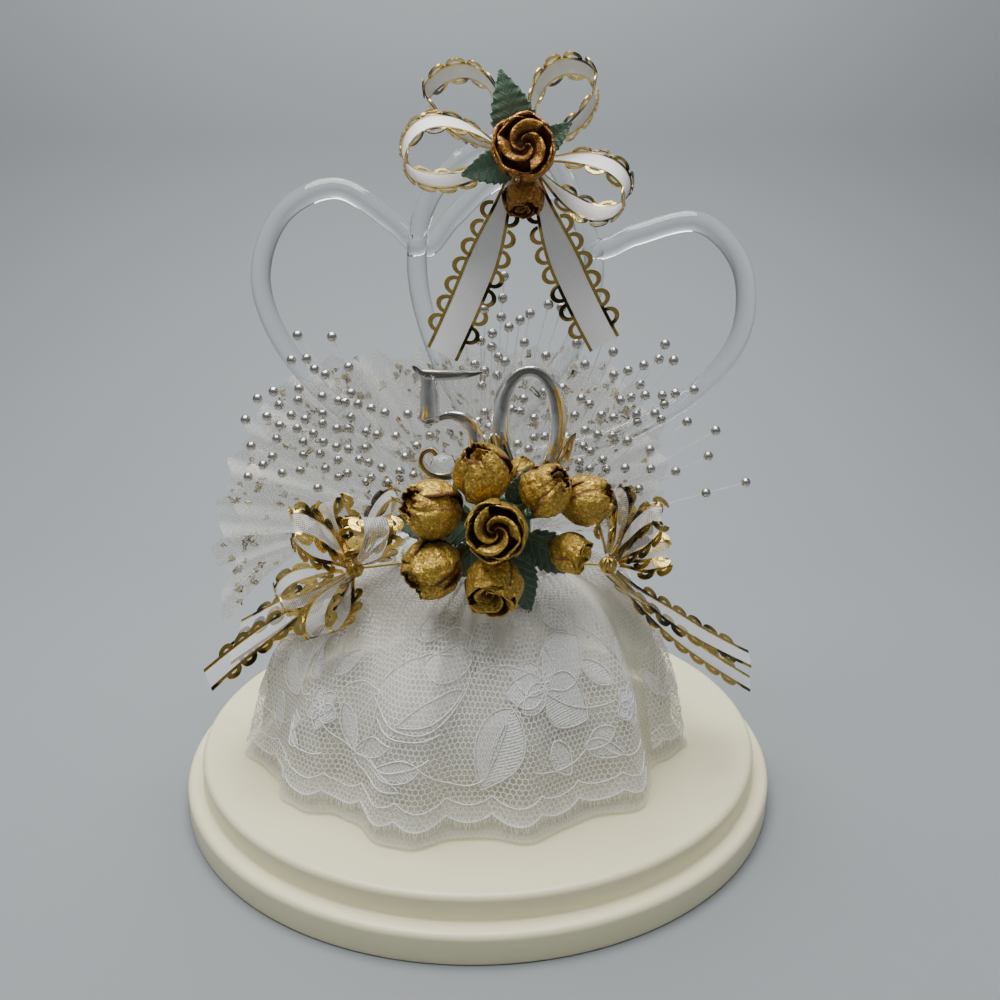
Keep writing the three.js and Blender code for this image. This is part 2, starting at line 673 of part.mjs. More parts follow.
function makeLeaves() {
  leafPlaces.forEach(({ out, lengthShare, facing }, i) => {
    const way = vec(...out).normalize();
    const foot = hub.clone().addScaledVector(way, HUB_D / 2 + SEAT_GAP + LEAF_T / 2);
    const tip = foot.clone().addScaledVector(way, LEAF_L * lengthShare);
    addPiece(`bouquet_leaf_${i + 1}`, leafBody(foot, tip, vec(...facing), lengthShare), leafCloth);
  });
}

// Ribbon

// A flat strip through places, each with its width direction and width
function strip(places) {
  return loft(places.map(({ at, broad, width }, i) => {
    const before = places[Math.max(i - 1, 0)].at;
    const after = places[Math.min(i + 1, places.length - 1)].at;
    const along = after.clone().sub(before).normalize();
    const flatWay = broad.clone().addScaledVector(along, -broad.dot(along)).normalize();
    const thick = along.clone().cross(flatWay).normalize();
    return [[-1, -1], [1, -1], [1, 1], [-1, 1]].map(([a, b]) => at.clone()
      .addScaledVector(flatWay, (a * width) / 2)
      .addScaledVector(thick, (b * RIBBON_T) / 2));
  }));
}

const RIBBON_WIDENING = 1.7;
const ribbonWidth = (share) => THREE.MathUtils.lerp(RIBBON_ROOT_W, RIBBON_W, smooth(Math.min(share * RIBBON_WIDENING, 1)));

// A loop of ribbon out from a knot and back to it, bellying by a share of its length on each side
const LOOP_BELLY_PEAK = 0.77;

function loopBody(knot, knotD, { out, broad, lengthShare, bellyShares }, unitLength) {
  const along = vec(...out).normalize();
  const broadWay = vec(...broad).addScaledVector(along, -vec(...broad).dot(along)).normalize();
  const round = broadWay.clone().cross(along).normalize();
  const length = unitLength * lengthShare;
  const places = Array.from({ length: LOOP_STEPS + 1 }, (_, i) => {
    const turn = (i / LOOP_STEPS) * 2 * Math.PI;
    const reach = (1 - Math.cos(turn)) / 2;
    const bellyShare = bellyShares[turn < Math.PI ? 0 : 1] / LOOP_BELLY_PEAK;
    const belly = Math.sin(turn) * Math.sin(turn / 2) * length * bellyShare;
    const side = belly + (RIBBON_ROOT_GAP / 2) * Math.cos(turn / 2) * (1 - reach);
    const at = knot.clone()
      .addScaledVector(along, knotD / 2 + SEAT_GAP + RIBBON_T / 2 + length * reach)
      .addScaledVector(round, side);
    return { at, broad: broadWay, width: ribbonWidth(reach) };
  });
  return strip(places);
}

// A tail of ribbon along a curve from a knot to its cut end
function tailBody(knot, knotD, { out, bend, end, broad }, unitLength) {
  const way = vec(...out).normalize();
  const start = knot.clone().addScaledVector(way, knotD / 2 + SEAT_GAP + RIBBON_T / 2);
  const control = knot.clone().add(vec(...bend).multiplyScalar(unitLength));
  const finish = knot.clone().add(vec(...end).multiplyScalar(unitLength));
  const curve = new THREE.QuadraticBezierCurve3(start, control, finish);
  const places = Array.from({ length: TAIL_STEPS + 1 }, (_, i) => {
    const share = i / TAIL_STEPS;
    return { at: curve.getPoint(share), broad: vec(...broad), width: ribbonWidth(share) };
  });
  return strip(places);
}

function addBow(side, knot, knotD, loops, tails, loopLength, tailLength) {
  loops.forEach((loop, i) => {
    addPiece(`${side}_bow_loop_${i + 1}`, loopBody(knot, knotD, loop, loopLength), ribbonCloth);
  });
  tails.forEach((tail, i) => {
    addPiece(`${side}_bow_tail_${i + 1}`, tailBody(knot, knotD, tail, tailLength), ribbonCloth);
  });
}

// The place on a heart's upper lobe, on one side, where the top bow is tied
function rodPlace(heart, sideWay) {
  const points = heartShares.slice(2).map(([across, up]) => heartPoint(heart, sideWay * across, up));
  const lobe = new THREE.CatmullRomCurve3(points).getSpacedPoints(HEART_STEPS);
  const near = (place) => Math.abs(place.x - TOP_KNOT_X);
  return lobe.filter((place) => place.z > heart.cleft.z)
    .reduce((best, place) => (near(place) < near(best) ? place : best));
}

// Top bow: four loops and two tails, round a knot that is tied over both rods
const topRods = [rodPlace(hearts.heart_left, 1), rodPlace(hearts.heart_right, -1)];
const topKnot = vec(
  TOP_KNOT_X,
  -(heartY + ROD_D / 2 + TOP_KNOT_GAP + TOP_KNOT_D / 2),
  (topRods[0].z + topRods[1].z) / 2,
);
const topLoops = [
  { out: [-0.79, 0.24, 0.56], broad: [0.42, -0.85, -0.1], lengthShare: 0.88, bellyShares: [0.15, 0.38] },
  { out: [-1, -0.2, 0.02], broad: [0.3, -0.85, -0.42], lengthShare: 0.88, bellyShares: [0.22, 0.33] },
  { out: [0.6, 0.2, 0.77], broad: [-0.42, -0.85, -0.1], lengthShare: 0.78, bellyShares: [0.34, 0.24] },
  { out: [0.93, -0.16, -0.33], broad: [-0.3, -0.85, -0.42], lengthShare: 0.8, bellyShares: [0.26, 0.28] },
];
const topTails = [
  { out: [-0.74, 0.52, -0.42], bend: [-0.15, 0.03, -0.42], end: [-0.39, -0.07, -0.9], broad: [0.93, 0, -0.38] },
  { out: [0.74, 0.52, -0.42], bend: [0.15, 0.03, -0.42], end: [0.4, -0.07, -0.85], broad: [0.9, -0.2, 0.4] },
];

// The tie's wire, a closed round-ended ring over the rods of both hearts, with the knot in front
function makeTopTie() {
  const across = vec(1, 0, 0);
  const reach = ROD_D / 2 + SEAT_GAP + TIE_WIRE_D / 2;
  const [backRod, frontRod] = topRods;
  const between = frontRod.clone().sub(backRod).normalize();
  const side = between.clone().cross(across).normalize();
  const half = (centre, way) => Array.from({ length: KNOT_SIDES }, (_, i) => {
    const angle = (i / (KNOT_SIDES - 1)) * Math.PI;
    return centre.clone()
      .addScaledVector(side, way * reach * Math.cos(angle))
      .addScaledVector(between, way * reach * Math.sin(angle));
  });
  const path = [...half(frontRod, 1), ...half(backRod, -1)];
  const middle = backRod.clone().add(frontRod).multiplyScalar(0.5);
  const wire = loft(path.map((point) => {
    const out = point.clone().sub(middle).normalize();
    return ring(point, across, out, TIE_WIRE_D / 2, ROD_SIDES / 2);
  }), true);
  const front = path.reduce((best, point) => (point.distanceTo(topKnot) < best.distanceTo(topKnot) ? point : best));
  addPiece("top_bow_tie", join([wire, bar(front, topKnot, TIE_WIRE_D, KNOT_SIDES), ball(topKnot, TOP_KNOT_D, KNOT_SIDES)]),
    tieWire);
}

// Top rose and the bud that hangs below it
function makeTopFlowers() {
  const flowers = [
    { name: "top_rose", way: vec(0, -0.97, 0.24), diameter: TOP_ROSE_D, length: TOP_ROSE_L, openShare: 1.3 },
    { name: "top_bud", way: vec(0, -0.42, -0.91), diameter: TOP_BUD_D, length: TOP_BUD_L, openShare: 1 },
  ];
  for (const { name, way, diameter, length, openShare } of flowers) {
    const foot = topKnot.clone().addScaledVector(way, TOP_KNOT_D / 2 + SEAT_GAP);
    const cupFoot = foot.clone().addScaledVector(way, TOP_STEM_L);
    addPiece(name, budBody(foot, cupFoot, diameter, length, openShare), goldPetal);
  }
}

const topLeafPlaces = [
  { out: [-0.26, -0.28, 0.92], lengthShare: 1.25 },
  { out: [-0.86, -0.61, -0.22], lengthShare: 1 },
  { out: [0.76, -0.4, 0.55], lengthShare: 0.8 },
];

function makeTopLeaves() {
  topLeafPlaces.forEach(({ out, lengthShare }, i) => {
    const way = vec(...out).normalize();
    const foot = topKnot.clone().addScaledVector(way, TOP_KNOT_D / 2 + SEAT_GAP + LEAF_T / 2);
    const tip = foot.clone().addScaledVector(way, LEAF_L * lengthShare);
    addPiece(`top_leaf_${i + 1}`, leafBody(foot, tip, vec(0, -1, 0), lengthShare), leafCloth);
  });
}

// Side bows, each wired to the core
const sideKnots = {
  left: vec(LEFT_KNOT_X, SIDE_KNOT_Y, knotZ.left),
  right: vec(RIGHT_KNOT_X, SIDE_KNOT_Y, knotZ.right),
};
const leftLoops = [
  { out: [-0.48, -0.56, 0.67], broad: [-0.19, 0.82, 0.55], lengthShare: 1.1, bellyShares: [0.13, 0.1] },
  { out: [-0.33, 0.18, 0.93], broad: [0.77, -0.51, 0.37], lengthShare: 0.78, bellyShares: [0.2, 0.1] },
  { out: [0.32, -0.67, 0.67], broad: [0.93, 0.34, -0.11], lengthShare: 1.12, bellyShares: [0.15, 0.22] },
  { out: [0.49, 0.09, 0.86], broad: [0.28, -0.96, -0.06], lengthShare: 0.96, bellyShares: [0.15, 0.13] },
  { out: [-0.24, -0.92, -0.3], broad: [-0.85, 0.35, -0.4], lengthShare: 1.08, bellyShares: [0.15, 0.14] },
  { out: [-0.9, -0.35, -0.27], broad: [-0.37, 0.93, 0.06], lengthShare: 0.87, bellyShares: [0.24, 0.17] },
];
const leftTails = [
  { out: [-0.2, -0.37, -0.91], bend: [-0.43, -0.18, -0.24], end: [-0.77, -0.28, -0.53], broad: [0.85, -0.46, 0.24] },
  { out: [-0.73, 0.27, -0.63], bend: [-0.33, 0.05, -0.19], end: [-0.66, 0.03, -0.37], broad: [0.71, -0.68, 0.18] },
  { out: [-0.38, 0.55, -0.74], bend: [-0.41, 0.02, -0.29], end: [-0.72, -0.01, -0.51], broad: [-0.13, -0.85, -0.51] },
];
const rightLoops = [
  { out: [0.43, 0.77, 0.48], broad: [0.61, 0.14, -0.78], lengthShare: 1.05, bellyShares: [0.1, 0.1] },
  { out: [0.55, -0.36, 0.75], broad: [-0.12, -0.93, -0.35], lengthShare: 0.91, bellyShares: [0.14, 0.1] },
  { out: [0.94, -0.22, 0.28], broad: [-0.11, -0.93, -0.35], lengthShare: 0.65, bellyShares: [0.15, 0.11] },
  { out: [0.05, 0.16, 0.99], broad: [0.59, 0.79, -0.16], lengthShare: 0.84, bellyShares: [0.19, 0.1] },
];
const rightTails = [
  { out: [0.73, -0.04, -0.68], bend: [0.31, -0.01, -0.31], end: [0.8, -0.05, -0.54], broad: [0.66, 0.73, -0.18] },
  { out: [0.31, 0.4, -0.86], bend: [0.32, 0, -0.41], end: [0.8, -0.09, -0.67], broad: [0.4, 0.91, -0.07] },
  { out: [-0.1, -0.69, -0.71], bend: [0.12, -0.14, -0.13], end: [0.2, -0.2, -0.15], broad: [-0.63, -0.63, 0.45] },
];

// A side tie: the knot, and the wire that runs back to the core below the core's rounded edge
function makeSideTie(side) {
  const knot = sideKnots[side];
  const inward = vec(CORE_SHIFT_X - knot.x, -knot.y, 0).normalize();
  const height = CORE_TOP_Z - CORE_EDGE_R + TIE_WIRE_D / 2;
  const seat = vec(CORE_SHIFT_X, 0, height).addScaledVector(inward, -(CORE_D / 2 + SEAT_GAP));
  addPiece(`${side}_bow_tie`, join([ball(knot, SIDE_KNOT_D, KNOT_SIDES), bar(knot, seat, TIE_WIRE_D, KNOT_SIDES)]),
    tieWire);
}

// Bead sprays: each strand's angle in the sprays' plane, and its beads as shares of the reach
const strandShares = {
  left: [
    [122.5, [0.32, 0.55, 0.69, 0.82, 1]], [119, [0.35, 0.52, 0.66, 0.71]], [112.5, [0.31, 0.39, 0.48, 0.58]],
    [96.5, [0.45, 0.5]], [124, [0.63, 0.71, 0.86, 0.91]], [130, [0.34, 0.45, 0.63, 0.71, 0.84]],
    [133, [0.48, 0.54, 0.68, 0.81]], [137, [0.63, 0.68, 0.79, 0.85]], [141.5, [0.48, 0.61, 0.69, 0.8, 0.86]],
    [150, [0.64, 0.76, 0.85]], [159, [0.82]],
  ],
  centre: [
    [62.5, [0.5, 0.82]], [67, [0.43, 0.48, 0.88]], [73, [0.43, 0.79, 0.98]], [76, [0.56, 0.61, 0.98]],
    [79.5, [0.56, 0.82, 0.93]], [84, [0.74, 0.87]], [86, [0.68, 0.75, 0.9, 0.97, 1.05]],
    [88, [0.48, 0.79, 0.84]], [91, [0.64, 0.81]], [95, [0.85]],
  ],
  right: [
    [18, [0.74, 0.9]], [34, [0.58, 0.87]], [45, [0.44, 0.73, 0.9]], [48, [0.58, 0.73, 0.78, 0.84]],
    [52, [0.4, 0.55, 0.68]], [54, [0.56, 0.76, 0.93]], [56.5, [0.37, 0.72, 0.78, 0.9]],
    [59, [0.4, 0.53, 0.69, 0.85]], [64.5, [0.35, 0.52, 0.76]], [71, [0.56, 0.63, 0.93]],
  ],
};
const STRAND_LEANS = [-0.01, -0.035, 0.005, -0.02];

// A filament with its beads, as one tube whose radius swells at each bead
function strandBody(root, angleDeg, beads, lean) {
  const way = vec(Math.cos(rad(angleDeg)), lean, Math.sin(rad(angleDeg)));
  const [across, up] = sideways(way.clone().normalize(), vec(0, 1, 0));
  const at = (distance) => {
    const share = distance / SPRAY_REACH;
    const sag = SPRAY_SAG_H * share * share * Math.abs(Math.cos(rad(angleDeg)));
    return root.clone().addScaledVector(way, distance).add(vec(0, 0, -sag));
  };
  const wireR = FILAMENT_D / 2;
  const rings = [[0, wireR]];
  for (const share of beads) {
    const middle = share * SPRAY_REACH;
    rings.push([middle - BEAD_D / 2, wireR], [middle, BEAD_D / 2], [middle + BEAD_D / 2, wireR]);
  }
  return loft(rings.map(([distance, radius]) => ring(at(distance), across, up, radius, STRAND_SIDES)));
}

function makeSprays() {
  for (const [side, strands] of Object.entries(strandShares)) {
    const place = sprayHubs[side];
    const foot = place.clone().add(vec(0, 0, -SPRAY_HUB_DEPTH));
    const top = place.clone().add(vec(0, 0, SPRAY_HUB_RISE));
    const root = top.clone().add(vec(0, 0, -SPRAY_HUB_RISE / 3));
    const bodies = strands.map(([angleDeg, beads], i) => (
      strandBody(root, angleDeg, beads, STRAND_LEANS[i % STRAND_LEANS.length])));
    addPiece(`pearl_spray_${side}`, join([bar(foot, top, SPRAY_HUB_D, ROD_SIDES), ...bodies]), silver);
  }
}

makeBase();
makeCore();
makeHearts();
makeSkirts();
makeFan();
makeNumerals();
makeHub();
makeRosebuds();
makeLeaves();
makeTopTie();
makeTopFlowers();
makeTopLeaves();
addBow("top", topKnot, TOP_KNOT_D, topLoops, topTails, TOP_LOOP_L, TOP_TAIL_L);
makeSideTie("left");
addBow("left", sideKnots.left, SIDE_KNOT_D, leftLoops, leftTails, SIDE_LOOP_L, SIDE_TAIL_L);
makeSideTie("right");
addBow("right", sideKnots.right, SIDE_KNOT_D, rightLoops, rightTails, SIDE_LOOP_L, SIDE_TAIL_L);
makeSprays();

export default topper;
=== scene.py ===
"""The looks of a wedding cake topper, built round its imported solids."""

import math
from collections import namedtuple

import bmesh
import bpy
import numpy as np
from mathutils import Matrix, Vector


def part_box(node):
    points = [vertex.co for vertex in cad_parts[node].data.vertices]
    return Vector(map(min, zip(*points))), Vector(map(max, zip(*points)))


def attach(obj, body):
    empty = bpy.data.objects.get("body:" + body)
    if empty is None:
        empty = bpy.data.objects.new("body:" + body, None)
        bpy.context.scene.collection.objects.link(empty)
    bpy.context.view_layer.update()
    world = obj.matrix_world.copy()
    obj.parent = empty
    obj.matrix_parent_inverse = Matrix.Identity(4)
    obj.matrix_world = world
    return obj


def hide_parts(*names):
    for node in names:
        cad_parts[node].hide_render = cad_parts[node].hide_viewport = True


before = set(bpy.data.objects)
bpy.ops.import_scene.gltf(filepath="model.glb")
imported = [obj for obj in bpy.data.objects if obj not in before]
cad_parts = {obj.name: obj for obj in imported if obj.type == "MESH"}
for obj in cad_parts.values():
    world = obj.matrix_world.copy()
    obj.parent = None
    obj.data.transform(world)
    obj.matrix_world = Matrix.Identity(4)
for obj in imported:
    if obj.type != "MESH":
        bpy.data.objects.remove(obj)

bl_info = {
    "name": "Wedding cake topper",
    "version": (1, 0, 0),
    "blender": (4, 5, 0),
    "location": "3D View > Sidebar > Topper",
    "description": "Dresses the solids of a lace and rosebud cake topper",
    "category": "Add Mesh",
}

# Places and sizes are in millimetres, in the frame of the solids, until a mesh is made of them
MM = 0.001
BODY = "root"


def box_mm(node):
    """The lowest and the highest corner of one of the solids."""
    low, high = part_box(node)
    return np.array(low) / MM, np.array(high) / MM


def unit(direction):
    """Directions made one long."""
    direction = np.asarray(direction, float)
    return direction / np.linalg.norm(direction, axis=-1, keepdims=True)


def blend(low, high, share):
    """A value part of the way from one to another."""
    return low + (high - low) * share


def smooth(share):
    """A share that starts and ends gently."""
    share = np.clip(share, 0, 1)
    return share * share * (3 - 2 * share)


# What every piece shares with the solids

CORE_LOW, CORE_HIGH = box_mm("foam_core")
BASE_HIGH = box_mm("display_base")[1]
TABLE_Z = BASE_HIGH[2]
CORE_TOP_Z = CORE_HIGH[2]
CORE_X = (CORE_LOW[0] + CORE_HIGH[0]) / 2
CORE_D = CORE_HIGH[0] - CORE_LOW[0]
SEAT_GAP = 0.3
ROD_D = 4.7


# Curves through places

FINE_STEPS = 24


def travelled(line):
    """How far along a line each of its places lies."""
    return np.concatenate([[0], np.cumsum(np.linalg.norm(np.diff(line, axis=0), axis=1))])


def places_at(at, way, line):
    """The places of a line at some distances along it."""
    return np.stack([np.interp(at, way, column) for column in line.T], axis=1)


def spaced(line, count, measured=3):
    """Places evenly spaced along a line, measured over its first numbers."""
    line = np.asarray(line, float)
    way = travelled(line[:, :measured])
    return places_at(np.linspace(0, way[-1], count), way, line)


def through(points, count, measured=3):
    """Evenly spaced places on a smooth curve through points, each with any numbers that go along."""
    points = np.asarray(points, float)
    guided = np.vstack([2 * points[0] - points[1], points, 2 * points[-1] - points[-2]])
    fine = []
    share = np.linspace(0, 1, FINE_STEPS, endpoint=False)[:, None]
    for a, b, c, d in zip(guided, guided[1:], guided[2:], guided[3:]):
        before, here, after = (max(np.linalg.norm(q - p), 1e-6) ** 0.5 for p, q in ((a, b), (b, c), (c, d)))
        leave = ((b - a) / before - (c - a) / (before + here) + (c - b) / here) * here
        reach = ((c - b) / here - (d - b) / (here + after) + (d - c) / after) * here
        bent = (3 * (c - b) - 2 * leave - reach) * share**2 + (2 * (b - c) + leave + reach) * share**3
        fine.append(b + leave * share + bent)
    return spaced(np.vstack([*fine, points[-1:]]), count, measured)


def bowed(start, control, finish, count):
    """Places on the curve from start to finish that bends towards a control point."""
    share = np.linspace(0, 1, count)[:, None]
    return (1 - share) ** 2 * start + 2 * share * (1 - share) * control + share**2 * finish


def directions(line):
    """The direction of a line at each of its places."""
    return unit(np.gradient(line, axis=0))


def square_to(direction, hint=(0, 0, 1)):
    """Two directions square to a third one, the first across the hint."""
    direction = unit(direction)
    hint = np.array(hint, float) if abs(np.dot(direction, hint)) < 0.95 else np.array([0.0, 1.0, 0.0])
    across = unit(np.cross(direction, hint))
    return across, np.cross(across, direction)


def round_angles(count):
    """Evenly spaced angles once round."""
    return np.arange(count) / count * 2 * math.pi


def round_axis(foot, way, height, radius, angle):
    """Places round an axis, from their heights along it, their radii and their angles."""
    across, up = square_to(way)
    return (foot + way * height[..., None] + (radius * np.cos(angle))[..., None] * across
            + (radius * np.sin(angle))[..., None] * up)


# Meshes

Shape = namedtuple("Shape", "points faces uv marks")


def shape(points, faces, uv=None, **marks):
    """Points and faces, with places on the cloth for each face corner and marks for each point."""
    return Shape(np.asarray(points, float).reshape(-1, 3), [tuple(face) for face in faces], uv, marks)


def grid(points, across_closed=False, uv=None, **marks):
    """A shape through rows of points, whose rows may join end to end."""
    rows, columns = points.shape[:2]
    spans = columns if across_closed else columns - 1
    row, column = np.meshgrid(np.arange(rows - 1), np.arange(spans), indexing="ij")
    following = (column + 1) % columns
    faces = np.stack([
        row * columns + column, row * columns + following,
        (row + 1) * columns + following, (row + 1) * columns + column,
    ], axis=-1).reshape(-1, 4)
    corners = None
    if uv is not None:
        next_column = column + 1
        corners = np.stack([
            uv[row, column], uv[row, next_column], uv[row + 1, next_column], uv[row + 1, column],
        ], axis=2).reshape(-1, 2)
    return shape(points, faces, corners, **{name: np.ravel(mark) for name, mark in marks.items()})


def turned(profile, sides, centre=(0, 0)):
    """A closed round body about an upright axis, from heights and radii that start and end at its poles."""
    profile = np.asarray(profile, float)
    angle = round_angles(sides)
    ring = np.stack([np.cos(angle), np.sin(angle)], axis=1)
    points = [[centre[0], centre[1], profile[0][1]]]
    for radius, height in profile[1:-1]:
        around = ring * radius + np.asarray(centre)
        points.extend(np.column_stack([around, np.full(sides, height)]))
    points.append([centre[0], centre[1], profile[-1][1]])
    last = len(points) - 1
    faces = [(0, 1 + (i + 1) % sides, 1 + i) for i in range(sides)]
    for row in range(len(profile) - 3):
        here, above = 1 + row * sides, 1 + (row + 1) * sides
        faces += [(here + i, here + (i + 1) % sides, above + (i + 1) % sides, above + i) for i in range(sides)]
    top = 1 + (len(profile) - 3) * sides
    faces += [(top + i, top + (i + 1) % sides, last) for i in range(sides)]
    return shape(points, faces)


def lofted(rings, **marks):
    """A closed body through rings of points, with a fan of faces over each end."""
    rings = np.asarray(rings, float)
    count, sides = rings.shape[:2]
    points = np.vstack([rings.reshape(-1, 3), rings[0].mean(0), rings[-1].mean(0)])
    body = grid(rings, across_closed=True).faces
    first, last = count * sides, count * sides + 1
    start = (count - 1) * sides
    body += [(first, (i + 1) % sides, i) for i in range(sides)]
    body += [(last, start + i, start + (i + 1) % sides) for i in range(sides)]
    flat = {name: np.ravel(mark) for name, mark in marks.items()}
    capped = {name: np.append(mark, mark[[0, -1]]) for name, mark in flat.items()}
    return shape(points, body, **capped)


def together(shapes):
    """Several shapes as one."""
    points, faces, corners, start = [], [], [], 0
    for part in shapes:
        points.append(part.points)
        faces += [tuple(int(i) + start for i in face) for face in part.faces]
        start += len(part.points)
        if part.uv is not None:
            corners.append(part.uv)
    names = shapes[0].marks
    marks = {name: np.concatenate([np.ravel(part.marks[name]) for part in shapes]) for name in names}
    return shape(np.vstack(points), faces, np.vstack(corners) if corners else None, **marks)


SHARP_ANGLE = math.radians(38)


def in_scene(name, data):
    """A new object with those data, in the scene."""
    made = bpy.data.objects.new(name, data)
    bpy.context.scene.collection.objects.link(made)
    return made


def new_object(name, points, edges=(), faces=()):
    """An object in the scene, from places in millimetres."""
    mesh = bpy.data.meshes.new(name)
    mesh.from_pydata((np.asarray(points, float) * MM).tolist(), edges, faces)
    return in_scene(name, mesh)


def mark_points(piece, name, values, kind="FLOAT"):
    """Gives each point of an object's mesh a number or a direction."""
    data = piece.data.attributes.new(name, kind, "POINT").data
    data.foreach_set("value" if kind == "FLOAT" else "vector", np.asarray(values, np.float32).ravel())


def piece_of(name, form, sharp=SHARP_ANGLE):
    """An object with that shape, in metres, whose faces are smooth up to an angle."""
    piece = new_object(name, form.points, (), form.faces)
    if form.uv is not None:
        cloth = piece.data.uv_layers.new(name="cloth_mm")
        cloth.data.foreach_set("uv", np.asarray(form.uv, np.float32).ravel())
    for mark, values in form.marks.items():
        mark_points(piece, mark, values)
    piece.data.shade_smooth()
    piece.data.set_sharp_from_angle(angle=sharp)
    return piece


def baked(piece):
    """The piece with its modifiers worked into its mesh."""
    depsgraph = bpy.context.evaluated_depsgraph_get()
    mesh = bpy.data.meshes.new_from_object(piece.evaluated_get(depsgraph), depsgraph=depsgraph)
    piece.modifiers.clear()
    piece.data = mesh
    return piece


def thickened(piece, thickness):
    """A sheet given its thickness in millimetres, half to each side."""
    wall = piece.modifiers.new("thickness", "SOLIDIFY")
    wall.thickness = thickness * MM
    wall.offset = 0.0
    return baked(piece)


def settle(piece, material, replaced=()):
    """The piece's last step: its material, the body it rides on and the solids it stands for."""
    if not piece.data.materials:
        piece.data.materials.append(material)
    piece.data.materials[0] = material
    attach(piece, BODY)
    if replaced:
        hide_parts(*replaced)


# Nodes

class NodeTree:
    """A node tree that is built one node at a time."""

    def __init__(self, tree):
        self.tree = tree

    def node(self, kind, settings=None, values=None):
        """A new node with its settings, then its values or links."""
        node = self.tree.nodes.new(kind)
        for name, setting in (settings or {}).items():
            setattr(node, name, setting)
        for name, value in (values or {}).items():
            self.feed(self.socket_of(node, name), value)
        return node

    def socket_of(self, node, name):
        """A node's input by its place, its identifier or its name."""
        if isinstance(name, int):
            return node.inputs[name]
        found = [socket for socket in node.inputs if socket.identifier == name]
        return found[0] if found else node.inputs[name]

    def feed(self, socket, value):
        """Links an output to a socket, or sets the socket's own value."""
        if isinstance(value, Value):
            value = value.socket
        if isinstance(value, bpy.types.NodeSocket):
            self.tree.links.new(value, socket)
        elif socket.type == "RGBA" and len(value) == 3:
            socket.default_value = (*value, 1.0)
        else:
            socket.default_value = value


class Value:
    """A socket that carries a number. Python's operators on it add Math nodes."""

    def __init__(self, paint, socket):
        self.paint = paint
        self.socket = socket

    def math(self, operation, *others):
        inputs = dict(enumerate([self, *others]))
        return self.paint.add("ShaderNodeMath", {"operation": operation}, inputs)

    def __add__(self, other):
        return self.math("ADD", other)

    __radd__ = __add__

    def __sub__(self, other):
        return self.math("SUBTRACT", other)

    def __rsub__(self, other):
        return self.paint.add("ShaderNodeMath", {"operation": "SUBTRACT"}, {0: other, 1: self})

    def __mul__(self, other):
        return self.math("MULTIPLY", other)

    __rmul__ = __mul__

    def __truediv__(self, other):
        return self.math("DIVIDE", other)

    def size(self):
        return self.math("ABSOLUTE")

    def sine(self):
        return self.math("SINE")

    def wrapped(self, pitch):
        """The rest after whole pitches are taken away, never below nought."""
        return self.math("FLOORED_MODULO", pitch)

    def below(self, other):
        return self.math("MINIMUM", other)

    def above(self, other):
        return self.math("MAXIMUM", other)

    def less_than(self, other):
        return self.math("LESS_THAN", other)

    def step(self, low, high):
        """Nought up to low and one from high on, gently in between."""
        settings = {"interpolation_type": "SMOOTHSTEP"}
        values = {"Value": self, "From Min": low, "From Max": high, "To Min": 0.0, "To Max": 1.0}
        return self.paint.add("ShaderNodeMapRange", settings, values)


class Paint(NodeTree):
    """A material and its nodes."""

    def __init__(self, name):
        self.material = bpy.data.materials.new(name)
        self.material.use_nodes = True
        super().__init__(self.material.node_tree)
        self.shader = self.tree.nodes["Principled BSDF"]

    def add(self, kind, settings=None, values=None, output=0):
        """One of the outputs of a new node."""
        return Value(self, self.node(kind, settings, values).outputs[output])

    def finish(self, **values):
        """Sets the shader's own sockets, named with underscores for spaces, and returns the material."""
        for name, value in values.items():
            self.feed(self.shader.inputs[name.replace("_", " ")], value)
        return self.material

    def place(self):
        """Each point's own place in metres."""
        return self.add("ShaderNodeTexCoord", output=3)

    def cloth(self):
        """The two places on the flat cloth, in millimetres."""
        both = self.add("ShaderNodeUVMap", {"uv_map": "cloth_mm"})
        parts = self.node("ShaderNodeSeparateXYZ", None, {0: both})
        return Value(self, parts.outputs[0]), Value(self, parts.outputs[1])

    def mark(self, name):
        """A number that the mesh carries at each point."""
        return self.add("ShaderNodeAttribute", {"attribute_name": name}, output=2)

    def noise(self, scale, detail=2.0, roughness=0.5):
        """Soft noise from nought to one, whose scale is lumps in a metre."""
        values = {"Vector": self.place(), "Scale": scale, "Detail": detail, "Roughness": roughness}
        return self.add("ShaderNodeTexNoise", None, values)

    def mix(self, share, low, high):
        """A colour part of the way from one to another."""
        settings = {"data_type": "RGBA", "clamp_factor": True}
        return self.add("ShaderNodeMix", settings, {"Factor_Float": share, "A_Color": low, "B_Color": high}, 2)

    def cells(self, scale):
        """Small cells, each with a number of its own from nought to one."""
        values = {"Vector": self.place(), "Scale": scale}
        colour = self.add("ShaderNodeTexVoronoi", {"feature": "F1"}, values, output=1)
        return self.add("ShaderNodeSeparateColor", None, {"Color": colour})

    def bump(self, height, distance, under=None):
        """A normal that follows a height, whose one is that many millimetres."""
        values = {"Height": height, "Distance": distance * MM}
        if under is not None:
            values["Normal"] = under
        return self.add("ShaderNodeBump", None, values)


def toned(colour, share):
    """A colour made darker or lighter."""
    return tuple(min(channel * share, 1.0) for channel in colour)


def mottled(name, tint, low, high, scale, detail=2.0):
    """A new material's paint, a soft noise, and a tint that the noise makes darker and lighter."""
    paint = Paint(name)
    cloud = paint.noise(scale, detail)
    return paint, cloud, paint.mix(cloud, toned(tint, low), toned(tint, high))


# Geometry Nodes

